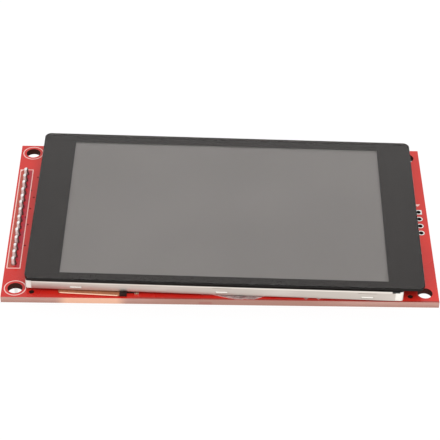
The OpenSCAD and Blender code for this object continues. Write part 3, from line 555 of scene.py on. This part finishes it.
def print_material():
    """Matt printed ink with pinholes that let the mask through."""
    s = settings("board")
    material, tree, inputs = new_material("Print", roughness=0.6)
    point = object_point(tree)
    holes = use_group(tree, "Specks", vector=point, scale=9000.0, size=0.35, amount=0.25)["Mask"]
    thin = mottle(tree, point, s.print_ink, shade(s.print_ink, 0.92), 1500.0, 0.15)["Color"]
    ink = blend(tree, product(tree, holes, 0.3), thin, s.mask)
    feed(tree, inputs["Base Color"], ink)
    grain(tree, inputs, point, 6000.0, 0.3, 0.005 * MM)
    return material


def dark_sides(tree, inner, edge):
    """inner on faces that look up or down, and edge on the sides all round."""
    flat = ramp(tree, level(tree), 0.75, 0.95)
    return blend(tree, flat, edge, inner)


def clear_material(name, ior, tint, sides, patch, **values):
    """A polished clear sheet with dark sides. Its faint haze changes slowly, as handled glass does."""
    material, tree, inputs = new_material(name, transmission=1.0, ior=ior, roughness=0.0, **values)
    haze = mottle(tree, object_point(tree), tint, shade(tint, 0.985), patch, 0.3)["Color"]
    feed(tree, inputs["Base Color"], dark_sides(tree, haze, sides))
    return material


def bead_material():
    """Clear adhesive, milky where its surface falls to the rim."""
    s = settings("display")
    material, tree, inputs = new_material("Clear adhesive", ior=1.25, roughness=0.1)
    point = object_point(tree)
    across = stretch(tree, point, (1, 6, 1))
    streaks = use_group(tree, "Mottle", vector=across, scale=700.0, spread=0.12)["Mask"]
    clear = ramp(tree, level(tree), 0.15, 0.55, 0.1, 0.9)
    clear = number(tree, "SUBTRACT", clear, product(tree, streaks, 0.25))
    feed(tree, inputs["Transmission Weight"], clear)
    feed(tree, inputs["Base Color"], s.adhesive)
    grain(tree, inputs, point, 900.0, 0.3, 0.02 * MM)
    return material


def painted(material):
    """A finished material's tree, its shader's inputs and what feeds its base colour."""
    tree = material.node_tree
    inputs = tree.nodes["Principled BSDF"].inputs
    return tree, inputs, inputs["Base Color"].links[0].from_socket


def solder_material():
    """Bright tin alloy, with resin and painted shade darkening its foot, and painted shade on the side
    that faces the display.
    """
    s = settings("header")
    finish = {"patch": 1600.0, "fine": 2200.0, "depth": 0.012 * MM, "metallic": 0.4}
    material = simple_material("Solder", s.solder, shade(s.solder, 0.85), (0.22, 0.34), **finish)
    tree, inputs, tin = painted(material)
    height = split(tree, object_point(tree))[2]
    # Resin and painted shade, darker towards the foot
    stain = ramp(tree, height, BOARD_HIGH.z, BOARD_HIGH.z + s.stain_and_shade_height, 0.8, 0.0)
    # Painted shade: the side that faces the display is painted nearly black, a painted shade and
    # reflection of the dark glass
    shaded_side = ramp(tree, facing(tree)[0], 0.15, 0.6, 0.0, 0.9)
    tin = blend(tree, shaded_side, tin, shade(s.stain, 0.12))
    feed(tree, inputs["Base Color"], blend(tree, stain, tin, s.stain))
    return material


def glass_shadow_masks(tree):
    """Two masks of the display's walls: 1 in the painted shadow under the glass's edge, and 1 along the
    painted highlight on the bend under that. Both go by the drop from the frame's top, which leans with
    the display less the shadow's slant."""
    s = settings("display")
    low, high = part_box("metal_frame")
    x, _, z = split(tree, object_point(tree))[:3]
    slope = math.tan(settings("glass").roll) - s.shadow_slant
    lean = number(tree, "MULTIPLY", number(tree, "SUBTRACT", x, low.x), slope)
    drop = number(tree, "SUBTRACT", high.z, number(tree, "ADD", z, lean))
    shadowed = ramp(tree, drop, s.shadow_reach, s.shadow_reach + 0.04 * MM)
    return shadowed, band(tree, drop, s.shadow_reach, s.shadow_reach + s.fold_highlight_height, 0.08 * MM)


def frame_steel_material():
    """The frame's steel: painted shadow at its top, a painted highlight on the bend, then the plain
    wall.
    """
    s = settings("display")
    finish = {"scale": (0.12, 1, 1), "patch": 500.0, "fine": 1800.0}
    material = metal_material("Frame steel", s.steel, (0.3, 0.42), **finish)
    tree, inputs, steel = painted(material)
    shadowed, fold = glass_shadow_masks(tree)
    # Painted highlight on the steel's bend
    steel = blend(tree, fold, steel, s.fold)
    # Painted shadow under the glass's edge, in the tape colour
    feed(tree, inputs["Base Color"], blend(tree, shadowed, s.tape, steel))
    return material


def white_plastic_material():
    """White moulding, with painted shadow where the glass's edge shades it."""
    s = settings("display")
    soft = shade(s.plastic, 0.97)
    material = simple_material("White plastic", s.plastic, soft, (0.4, 0.5), depth=0.006 * MM)
    tree, inputs, plastic = painted(material)
    # Painted shadow under the glass's edge
    shadowed = glass_shadow_masks(tree)[0]
    feed(tree, inputs["Base Color"], blend(tree, shadowed, s.shadow_on_plastic, plastic))
    return material


def pad_material():
    """Tinned copper, with painted shade on the plating down in the holes."""
    material, tree, inputs = new_material("Tinned pads", metallic=1.0, roughness=0.3)
    point = object_point(tree)
    tin = mottle(tree, point, (0.85, 0.84, 0.81), (0.72, 0.70, 0.66), 2500.0, 0.2)["Color"]
    # The sides down in the holes get a nearly black painted shade
    feed(tree, inputs["Base Color"], dark_sides(tree, tin, (0.05, 0.03, 0.025)))
    return material


# ---- Dressing ----

# Plain finishes of each step: name, colour, second colour (None for bare metal), least and most
# roughness, how the finish is made, and the CAD nodes
FINISHES = {
    "header": (
        ("Header plastic", (0.022, 0.022, 0.023), (0.035, 0.035, 0.036), (0.42, 0.55), {},
         ("header_body",)),
        ("Pin plating", (0.86, 0.85, 0.82), None, (0.2, 0.32), {"scale": (1, 1, 0.15)},
         ("header_pins",)),
    ),
    "display": (
        ("Black foam", (0.012, 0.012, 0.012), (0.03, 0.03, 0.03), (0.8, 0.95),
         {"patch": 3000.0, "fine": 7000.0, "depth": 0.03 * MM}, ("gasket", "end_seal")),
        ("Cell glass", (0.20, 0.22, 0.21), (0.17, 0.19, 0.18), (0.06, 0.12), {"patch": 80.0},
         ("color_filter_glass", "transistor_glass")),
        ("Bare silicon", (0.10, 0.10, 0.12), (0.08, 0.08, 0.10), (0.08, 0.14), {"patch": 900.0},
         ("driver_chip",)),
        ("White film", (0.90, 0.90, 0.90), (0.86, 0.87, 0.88), (0.35, 0.5), {"patch": 120.0},
         ("prism_film", "diffuser_film", "reflector_film")),
        ("Light guide", (0.80, 0.86, 0.88), (0.76, 0.83, 0.86), (0.1, 0.2), {"patch": 200.0},
         ("light_guide",)),
        ("Diode body", (0.90, 0.82, 0.42), (0.86, 0.78, 0.38), (0.3, 0.4), {"patch": 1500.0},
         ("backlight_leds",)),
        ("Strip white", (0.86, 0.86, 0.80), (0.80, 0.80, 0.74), (0.3, 0.4), {"patch": 800.0},
         ("led_strip",)),
    ),
    "flexes": (
        ("Chip moulding", (0.02, 0.02, 0.022), (0.035, 0.035, 0.036), (0.4, 0.6), {"fine": 5000.0},
         ("touch_controller", "level_shifter", "voltage_regulator", "backlight_transistor")),
        ("Connector plastic", (0.020, 0.010, 0.009), (0.032, 0.015, 0.013), (0.35, 0.5),
         {"specular": 0.15}, ("touch_connector",)),
        ("Contact gold", (0.95, 0.70, 0.32), None, (0.2, 0.3), {},
         ("touch_contacts", "socket_contacts")),
        ("Flex solder", (0.82, 0.81, 0.79), None, (0.15, 0.3), {"patch": 2500.0}, ("flex_solder",)),
    ),
    "adhesives": (
        ("Foam tape", (0.86, 0.86, 0.84), (0.80, 0.80, 0.78), (0.7, 0.9),
         {"patch": 2500.0, "fine": 6000.0}, ("mounting_tape",)),
    ),
    "card_socket": (
        ("Socket steel", (0.74, 0.74, 0.75), None, (0.2, 0.34),
         {"scale": (1, 0.1, 1), "patch": 500.0, "fine": 1800.0}, ("socket_shell",)),
        ("Socket plastic", (0.02, 0.02, 0.02), (0.032, 0.032, 0.032), (0.4, 0.55), {},
         ("socket_base",)),
    ),
    "chips": (
        ("Tinned leads", (0.80, 0.80, 0.79), None, (0.22, 0.36), {"patch": 2500.0},
         ("chip_leads", "chip_end_caps")),
        ("Resistor glaze", (0.025, 0.025, 0.03), (0.04, 0.04, 0.045), (0.15, 0.25),
         {"patch": 1500.0}, ("chip_resistors",)),
        ("Capacitor ceramic", (0.42, 0.28, 0.16), (0.36, 0.24, 0.14), (0.4, 0.55),
         {"patch": 2000.0}, ("chip_capacitors",)),
    ),
}


def dress(material, *names):
    """Gives CAD nodes their material."""
    for name in names:
        mesh = NODES[name].data
        mesh.materials.clear()
        mesh.materials.append(material)


def dress_plain(step):
    """Makes a step's plain finishes and gives them to their CAD nodes."""
    for name, first, second, rough, finish, nodes in FINISHES[step]:
        if second is None:
            dress(metal_material(name, first, rough, **finish), *nodes)
        else:
            dress(simple_material(name, first, second, rough, **finish), *nodes)


# ---- Surfaces ----


def close_mesh(mesh):
    """Merges the points that meet at poles and seams, and turns every face outwards."""
    work = bmesh.new()
    work.from_mesh(mesh)
    bmesh.ops.remove_doubles(work, verts=work.verts, dist=0.0002 * MM)
    bmesh.ops.recalc_face_normals(work, faces=work.faces)
    work.to_mesh(mesh)
    work.free()


def place(name, data):
    """A new object in the scene."""
    made = bpy.data.objects.new(name, data)
    bpy.context.scene.collection.objects.link(made)
    return made


def add_mesh(name, points, faces, material, slot):
    """A smooth-shaded object at the origin from points (n, 3) and quads (m, 4), riding on the frame."""
    mesh = bpy.data.meshes.new(name)
    mesh.vertices.add(len(points))
    mesh.vertices.foreach_set("co", points.astype(np.float32).ravel())
    mesh.loops.add(faces.size)
    mesh.loops.foreach_set("vertex_index", faces.astype(np.int32).ravel())
    mesh.polygons.add(len(faces))
    mesh.polygons.foreach_set("loop_start", np.arange(0, faces.size, 4, dtype=np.int32))
    mesh.polygons.foreach_set("use_smooth", np.ones(len(faces), bool))
    mesh.update(calc_edges=True)
    close_mesh(mesh)
    mesh.materials.append(material)
    made = place(name, mesh)
    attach(made, "root")
    return made


def surface(points, closed=True):
    """Points and quads of a grid of points, or of several equal grids stacked in front. The quads lie
    between neighbouring points, and closed joins each grid's last column to its first."""
    rows, columns = points.shape[-3:-1]
    points = points.reshape(-1, 3)
    count = columns if closed else columns - 1
    i, j = np.meshgrid(np.arange(rows - 1), np.arange(count), indexing="ij")
    k = (j + 1) % columns
    start, end = i * columns, (i + 1) * columns
    faces = np.stack([start + j, start + k, end + k, end + j], -1).reshape(-1, 4)
    grids = np.arange(0, len(points), rows * columns)
    return points, (faces + grids[:, None, None]).reshape(-1, 4)


def solder_joints():
    """Fourteen joints as surfaces of revolution. From the foot to the tip the radius falls as the
    height's share to the power 2.4, which gives the hollow fillet, and a quarter ellipse ends it.
    Each joint has its own foot, height and lean, taken from sines of its number."""
    s = settings("header")
    low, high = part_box("header_solder")
    centre_x = (low.x + high.x) / 2
    ring, fillet, cap = 40, 18, 7
    t = np.linspace(0, 1, fillet)
    c = np.linspace(0, math.pi / 2, cap + 1)[1:]
    top = s.joint_height * 0.8
    fall = (s.foot_radius - s.tip_radius) * (1 - t) ** 2.4
    radius = np.r_[s.tip_radius + fall, s.tip_radius * np.cos(c)]
    height = np.r_[top * t, top + (s.joint_height - top) * np.sin(c)]
    radius[-1] = 0.004 * MM
    n = np.arange(PIN_COUNT)
    wide = 1 + 0.07 * s.unevenness * np.sin(2.1 * n + 0.4)
    tall = 1 + 0.22 * s.unevenness * (np.sin(1.7 * n + 1.0) - 1)
    lean_x = 0.16 * MM * s.unevenness * np.sin(2.9 * n)
    lean_y = 0.2 * MM * s.unevenness * np.sin(1.3 * n + 2.0)
    a = np.linspace(0, 2 * math.pi, ring, endpoint=False)
    lobes = 1 + 0.05 * s.unevenness * np.sin(2 * a[None, None] + 1.9 * n[:, None, None])
    r = radius[None, :, None] * wide[:, None, None] * lobes
    rise = (height / height[-1])[None, :, None] ** 1.5
    x = centre_x + r * np.cos(a) + lean_x[:, None, None] * rise
    y = PIN_ROWS[:, None, None] * PITCH + r * np.sin(a) + lean_y[:, None, None] * rise
    z = BOARD_HIGH.z + height[None, :, None] * tall[:, None, None] + 0 * r
    return surface(np.stack([x, y, z], -1))


def round_outline(x0, x1, y0, y1, radius, steps=10):
    """Points round a rectangle, anticlockwise. Each corner is a quarter circle about its own centre."""
    a = np.linspace(0, math.pi / 2, steps) + np.arange(4)[:, None] * math.pi / 2
    cx = np.array([x1 - radius, x0 + radius, x0 + radius, x1 - radius])[:, None]
    cy = np.array([y1 - radius, y1 - radius, y0 + radius, y0 + radius])[:, None]
    return np.stack([cx + radius * np.cos(a), cy + radius * np.sin(a)], -1).reshape(-1, 2)


def glass_bounds():
    """Half length and half width of the solid glass. Its box is that of a round-cornered slab that is
    turned by the yaw and the roll, so the two sizes follow from two linear equations."""
    s = settings("glass")
    low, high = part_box("cover_glass")
    c, d = math.cos(s.yaw), abs(math.sin(s.yaw))
    round_part = 2 * s.corner * (1 - c - d)
    box = [high.x - low.x - s.thickness * math.sin(s.roll) - round_part, high.y - low.y - round_part]
    size = np.linalg.solve([[c * math.cos(s.roll), d], [d, c]], box)
    return size / 2


def in_display(points):
    """Points of the display's own frame, whose origin is the top of the glass's centre, in the board's
    frame: rolled about Y, turned about Z and moved."""
    s = settings("glass")
    low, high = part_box("cover_glass")
    turn = Matrix.Rotation(s.yaw, 3, "Z") @ Matrix.Rotation(s.roll, 3, "Y")
    origin = (low + high) / 2 + turn @ Vector((0, 0, s.thickness / 2))
    return points @ np.array(turn).T + np.array(origin)


def glass_outline(inset):
    """The glass's outline, moved in by inset."""
    s = settings("glass")
    half_l, half_w = glass_bounds()
    return round_outline(
        -half_l - s.near_reach + inset, half_l + s.far_reach - inset, -half_w + inset, half_w - inset,
        s.corner - inset,
    )


def glass_slab():
    """Cover glass as one profile carried round its outline: flat faces from a pole at the centre, a
    ground chamfer at both rims and an upright side. Rows beside each edge keep the flat faces flat."""
    s = settings("glass")
    g, t = s.ground, s.thickness
    rim = [(2 * g, 0), (g, 0), (0, -g), (0, -2 * g), (0, 2 * g - t), (0, g - t), (g, -t), (2 * g, -t)]
    count = len(glass_outline(0))
    rows = [np.c_[glass_outline(inset), np.full(count, z)] for inset, z in rim]
    poles = [np.tile([0.0, 0.0, z], (count, 1)) for z in (0, -t)]
    return surface(in_display(np.stack([poles[0], *rows, poles[1]])))


def printed_border():
    """Ink under the glass, from its rim to the window: each point of the outline goes to the nearest
    point of the window's rectangle."""
    s = settings("glass")
    half_l, half_w = glass_bounds()
    near, far, front, back = s.border_sides
    outer = glass_outline(0.02 * MM)
    inner = np.clip(outer, [near - half_l, front - half_w], [half_l - far, half_w - back])
    top, under = -s.thickness - 0.01 * MM, -s.thickness - 0.04 * MM
    loop = [(outer, under), (outer, top), (inner, top), (inner, under), (outer, under)]
    return surface(in_display(np.stack([np.c_[flat, np.full(len(flat), z)] for flat, z in loop])))


def adhesive_bead(start, end, rise, fall, reach):
    """Grid of one bead of adhesive along X. Its rim leaves the wall in a half cosine wave over the
    length rise and comes back over the length fall. Its section is a quarter ellipse."""
    wall_y, back_y = BOARD_LOW.y + 1.7 * MM, BOARD_LOW.y + 4.4 * MM
    height = 0.38 * MM
    x = np.linspace(start, end, 90) * MM + BOARD_LOW.x
    ramps = np.minimum((x - x[0]) / (rise * MM), (x[-1] - x) / (fall * MM))
    ripple = 1 + 0.06 * np.sin(3100 * x) * np.sin(1300 * x + 1)
    wave = (1 - np.cos(math.pi * np.clip(ramps, 0, 1))) / 2 * ripple
    v = np.linspace(0, math.pi / 2, 14)
    rim = wall_y - reach * MM * np.sin(v)[:, None] * wave
    back = [back_y + 0 * x]
    y = np.concatenate([back, back, rim, back])
    z = np.r_[0, height, height * np.cos(v) ** 0.7, 0]
    z = BOARD_HIGH.z + z[:, None] + 0 * x
    return np.stack([x + 0 * y, y, z], -1)


def film_rim_highlight():
    """Cover film that stands out past the flex's front: a thin round bead, pointed at both ends. Its
    bright colour is a painted highlight along the flex's edge.
    """
    x0, x1 = BOARD_LOW.x + 12.9 * MM, BOARD_LOW.x + 26.3 * MM
    y0, y1 = BOARD_LOW.y + 1.48 * MM, BOARD_LOW.y + 0.68 * MM
    u = np.linspace(0, 1, 40)[:, None]
    a = np.linspace(0, 2 * math.pi, 12, endpoint=False)
    radius = 0.17 * MM * np.minimum(1, 8 * np.sqrt(np.clip(u * (1 - u), 0, 1)))
    x = x0 + (x1 - x0) * u + 0 * a
    y = y0 + (y1 - y0) * u + radius * np.cos(a)
    z = BOARD_HIGH.z + 0.22 * MM + radius * 0.55 * np.sin(a)
    return surface(np.stack([x, y, z], -1))


def covered_vias(centres, z, side):
    """Low domes over filled holes: the height falls with the cosine of the share of the radius."""
    s = settings("board")
    share_out = np.linspace(0, 1, 6)[:, None]
    a = np.linspace(0, 2 * math.pi, 18, endpoint=False)
    r = s.via_radius * share_out
    rise = s.via_rise * (np.cos(share_out * math.pi / 2) - 0.15) + 0 * a
    one = np.stack([r * np.cos(a), r * np.sin(a), side * rise], -1)
    return surface(one + np.c_[centres, np.full(len(centres), z)][:, None, None])


def trace_ribbons(paths, width, z, side):
    """Raised strips of mask over copper. Each path's corners are moved sideways along their mitre, and
    the height falls from the middle to the strip's edges as one less the square of the share."""
    s = settings("board")
    step = np.diff(paths, axis=1)
    step /= np.linalg.norm(step, axis=2, keepdims=True)
    across = np.stack([-step[..., 1], step[..., 0]], -1)
    mitre = np.concatenate([across[:, :1], across[:, :-1] + across[:, 1:], across[:, -1:]], 1)
    mitre /= np.linalg.norm(mitre, axis=2, keepdims=True)
    inner = np.concatenate([across[:, :1], across], 1)
    mitre /= (mitre * inner).sum(2, keepdims=True)
    offset = np.linspace(-1, 1, 5)
    flat = paths[:, :, None] + mitre[:, :, None] * (offset * width / 2)[:, None]
    height = side * s.trace_height * (1 - offset**2 - 0.2)
    points = np.concatenate([flat, np.broadcast_to((z + height)[:, None], (*flat.shape[:3], 1))], -1)
    return surface(points, closed=False)


def trace_paths():
    """Corners of the traces on the back, from the pins to the level shifter and from there to the card
    socket. Each runs straight, then at 45 degrees to its new row, then straight again."""
    rows = PIN_ROWS[:, None]
    middle_y, shifter_x, socket_x = 1.5 * MM, PIN_X + 30 * MM, PIN_X + 58 * MM
    start_y, end_y = rows * PITCH, rows * 0.9 * MM + middle_y
    turn_x = PIN_X + 3.2 * MM + np.abs(rows) * 0.45 * MM
    turned_x = turn_x + np.abs(end_y - start_y)
    x = np.hstack([PIN_X + 0.5 * MM + 0 * rows, turn_x, turned_x, shifter_x + 0 * rows])
    to_shifter = np.stack([x, np.hstack([start_y, start_y, end_y, end_y])], -1)
    end_y = end_y[3:-3]
    fan_y = rows[3:-3] * 2.6 * MM + middle_y
    away = np.abs(fan_y - end_y)
    turn_x = shifter_x + 6 * MM - away * 0.2
    x = np.hstack([shifter_x + 0 * fan_y, turn_x, turn_x + away, socket_x + 0 * fan_y])
    return to_shifter, np.stack([x, np.hstack([end_y, end_y, fan_y, fan_y])], -1)


# ---- Operators ----


class DressBoard(Operator):
    """Circuit board, its print, the plated card holes and the vias beside the header"""

    bl_idname = "display_module.board"
    bl_label = "Board"

    def execute(self, context):
        dress(board_material(), "circuit_board")
        dress(print_material(), "screen_print")
        dress(pad_material(), "card_header_pads")
        vias = np.array(FRONT_VIAS) * MM + [PIN_X, 0]
        add_mesh("vias_display_side", *covered_vias(vias, BOARD_HIGH.z, 1), via_material(), "board_red")
        return {"FINISHED"}


class DrawTraces(Operator):
    """Traces and vias that show through the mask on the back"""

    bl_idname = "display_module.traces"
    bl_label = "Traces"

    def execute(self, context):
        width = settings("board").trace_width
        to_shifter, to_socket = trace_paths()
        mask = mask_material()
        add_mesh("traces_header", *trace_ribbons(to_shifter, width, 0, -1), mask, "board_red")
        add_mesh("traces_socket", *trace_ribbons(to_socket, width, 0, -1), mask, "board_red")
        ends = np.concatenate([to_socket[:, -1], to_shifter[::2, 2] + [1.2 * MM, 0.45 * MM]])
        add_mesh("vias_back", *covered_vias(ends, 0, -1), via_material(), "board_red")
        return {"FINISHED"}


class DressHeader(Operator):
    """Pin header and its solder joints"""

    bl_idname = "display_module.header"
    bl_label = "Pin header"

    def execute(self, context):
        dress_plain("header")
        solder = solder_material()
        joints = add_mesh("solder_joints", *solder_joints(), solder, "solder")
        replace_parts(joints, "header_solder")
        dress(solder, "header_solder")
        return {"FINISHED"}


class DressGlass(Operator):
    """Cover glass, its printed border and the clear layers under it"""

    bl_idname = "display_module.glass"
    bl_label = "Cover glass"

    def execute(self, context):
        s = settings("glass")
        tint = {"specular_tint": (1, 0.93, 0.90)}
        glass = clear_material("Cover glass", s.glass_ior, (1, 1, 1), s.border, 35.0, **tint)
        dress(glass, "cover_glass")
        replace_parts(add_mesh("ground_glass", *glass_slab(), glass, "cover_glass"), "cover_glass")
        finish = {"patch": 60.0, "depth": 0.0005 * MM, "specular": 0.0}
        ink = simple_material("Border ink", s.border, shade(s.border, 0.8), (0.5, 0.6), **finish)
        dress(ink, "black_border")
        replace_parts(add_mesh("printed_border", *printed_border(), ink, "black_ink"), "black_border")
        for name, ior, colour_through, node in CLEAR_LAYERS:
            dress(clear_material(name, ior, colour_through, (0.004, 0.004, 0.004), 60.0), node)
        finish = {"patch": 25.0, "fine": 4000.0, "depth": 0.0005 * MM, "specular": 0.2}
        dim = shade(s.window, 0.985)
        window = simple_material("Front polarizer", s.window, dim, (0.42, 0.5), **finish)
        dress(window, "front_polarizer", "rear_polarizer")
        return {"FINISHED"}


class DressDisplay(Operator):
    """Metal frame, white frame, cell and backlight"""

    bl_idname = "display_module.display"
    bl_label = "Display unit"

    def execute(self, context):
        dress(frame_steel_material(), "metal_frame")
        dress(white_plastic_material(), "white_frame")
        dress_plain("display")
        return {"FINISHED"}


class DressFlexes(Operator):
    """Flexible circuits, their connector and their solder"""

    bl_idname = "display_module.flexes"
    bl_label = "Flexible circuits"

    def execute(self, context):
        s = settings("display")
        finish = {"patch": 500.0, "depth": 0.004 * MM, "scale": (1, 0.2, 1)}
        amber = simple_material("Amber film", s.amber, shade(s.amber, 0.75), (0.25, 0.35), **finish)
        dress(amber, "touch_flex", "display_flex")
        dress_plain("flexes")
        # The film rim's bright colour is a painted highlight along the flex's edge
        dim = shade(s.film_rim_highlight, 0.9)
        rim = simple_material("Film rim", s.film_rim_highlight, dim, (0.2, 0.3), patch=900.0)
        add_mesh("film_rim_highlight", *film_rim_highlight(), rim, "amber_flex")
        return {"FINISHED"}


class DressAdhesives(Operator):
    """Mounting tape and the clear adhesive pressed out under the front edge"""

    bl_idname = "display_module.adhesives"
    bl_label = "Adhesives"

    def execute(self, context):
        dress_plain("adhesives")
        clear = bead_material()
        dress(clear, "front_adhesive")
        beads = np.stack([adhesive_bead(*sizes) for sizes in ADHESIVE_BEADS])
        made = add_mesh("adhesive_beads", *surface(beads, closed=False), clear, "clear_adhesive")
        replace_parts(made, "front_adhesive")
        return {"FINISHED"}


class DressCardSocket(Operator):
    """Memory card socket on the back"""

    bl_idname = "display_module.card_socket"
    bl_label = "Card socket"

    def execute(self, context):
        dress_plain("card_socket")
        return {"FINISHED"}


class DressChips(Operator):
    """Small parts on the back"""

    bl_idname = "display_module.chips"
    bl_label = "Small parts"

    def execute(self, context):
        dress_plain("chips")
        return {"FINISHED"}


class SetStage(Operator):
    """Floor, light, background and camera"""

    bl_idname = "display_module.stage"
    bl_label = "Stage"

    def execute(self, context):
        s = settings("stage")
        make_floor(s)
        make_world(s)
        make_lamp(s)
        make_camera(s)
        context.scene.view_settings.view_transform = "Standard"
        return {"FINISHED"}


def seen_rays(tree):
    """1 for rays from the camera and for those that metal or glass throws on, else 0."""
    path = add_node(tree, "ShaderNodeLightPath").outputs
    mirrored = number(tree, "MAXIMUM", path["Is Glossy Ray"], path["Is Transmission Ray"])
    return number(tree, "MAXIMUM", path["Is Camera Ray"], mirrored)


def make_floor(s):
    """A wide pale floor under the lowest point. A share of its white is steady, and the rest takes the
    shadow."""
    half, z = s.floor_half, CAD_BOX[0].z
    points = np.array([[-half, -half, z], [half, -half, z], [half, half, z], [-half, half, z]])
    mesh = bpy.data.meshes.new("floor")
    mesh.from_pydata(points.tolist(), [], [(0, 1, 2, 3)])
    floor = place("floor", mesh)
    material = bpy.data.materials.new("Floor")
    material.use_nodes = True
    tree = material.node_tree
    tree.nodes.remove(tree.nodes["Principled BSDF"])
    paint = add_node(tree, "ShaderNodeBsdfDiffuse")
    feed(tree, paint.inputs["Color"], [s.floor_white] * 3)
    glow = add_node(tree, "ShaderNodeEmission")
    glow.inputs["Strength"].default_value = s.glow_strength
    mix = add_node(tree, "ShaderNodeMixShader")
    feed(tree, mix.inputs[0], number(tree, "MULTIPLY", seen_rays(tree), s.floor_glow))
    feed(tree, mix.inputs[1], paint.outputs[0])
    feed(tree, mix.inputs[2], glow.outputs[0])
    feed(tree, tree.nodes["Material Output"].inputs["Surface"], mix.outputs[0])
    mesh.materials.append(material)


def make_world(s):
    """White all round for the camera, metal and glass, and plain ambient light for everything else."""
    world = bpy.data.worlds.new("Pale room")
    world.use_nodes = True
    tree = world.node_tree
    background = tree.nodes["Background"]
    feed(tree, background.inputs["Color"], (1, 1, 1))
    feed(tree, background.inputs["Strength"], blend(tree, seen_rays(tree), s.ambient, 1.0, "FLOAT"))
    bpy.context.scene.world = world


def make_lamp(s):
    """One large soft lamp above, to the front right. Metal and glass don't mirror it."""
    light = bpy.data.lights.new("soft_lamp", "AREA")
    light.shape = "DISK"
    light.size = s.lamp_size
    light.energy = s.lamp_power
    lamp = place("soft_lamp", light)
    lamp.location = s.lamp_place
    lamp.rotation_euler = (-lamp.location).to_track_quat("-Z", "Y").to_euler()
    lamp.visible_glossy = False
    lamp.visible_transmission = False


def make_camera(s):
    """A long lens looking down on the target, rolled a little."""
    data = bpy.data.cameras.new("camera")
    data.lens = s.lens
    data.sensor_width = 36
    data.clip_start, data.clip_end = 0.01, 20
    camera = place("camera", data)
    forward = Vector((
        math.sin(s.azimuth) * math.cos(s.elevation),
        math.cos(s.azimuth) * math.cos(s.elevation),
        -math.sin(s.elevation),
    ))
    turn = forward.to_track_quat("-Z", "Y").to_matrix().to_4x4()
    roll = Matrix.Rotation(s.roll, 4, "Z")
    camera.matrix_world = Matrix.Translation(Vector(s.target) - forward * s.distance) @ turn @ roll
    bpy.context.scene.camera = camera


# ---- Panel and registration ----

GROUP_NAMES = ("module_board", "module_header", "module_glass", "module_display", "module_stage")
OPERATORS = (
    DressBoard, DrawTraces, DressHeader, DressGlass, DressDisplay, DressFlexes, DressAdhesives,
    DressCardSocket, DressChips, SetStage,
)


class DisplayModulePanel(Panel):
    """Settings and steps of the display module"""

    bl_idname = "VIEW3D_PT_display_module"
    bl_label = "Display module"
    bl_space_type = "VIEW_3D"
    bl_region_type = "UI"
    bl_category = "Display module"

    def draw(self, context):
        for name in GROUP_NAMES:
            page = getattr(context.scene, name)
            box = self.layout.box()
            box.label(text=name.replace("module_", "").title())
            for key in page.__annotations__:
                box.prop(page, key)
        for operator in OPERATORS:
            self.layout.operator(operator.bl_idname)


SETTINGS = (BoardSettings, HeaderSettings, GlassSettings, DisplaySettings, StageSettings)


def register():
    """Registers the classes and puts the settings on the scene."""
    for kind in (*SETTINGS, *OPERATORS, DisplayModulePanel):
        bpy.utils.register_class(kind)
    for name, kind in zip(GROUP_NAMES, SETTINGS):
        setattr(bpy.types.Scene, name, PointerProperty(type=kind))


def unregister():
    """Takes the settings off the scene and unregisters the classes."""
    for name in GROUP_NAMES:
        delattr(bpy.types.Scene, name)
    for kind in reversed((*SETTINGS, *OPERATORS, DisplayModulePanel)):
        bpy.utils.unregister_class(kind)


def main():
    """Runs every step in order."""
    register()
    for operator in OPERATORS:
        group, name = operator.bl_idname.split(".")
        getattr(getattr(bpy.ops, group), name)()


if __name__ == "__main__":
    main()
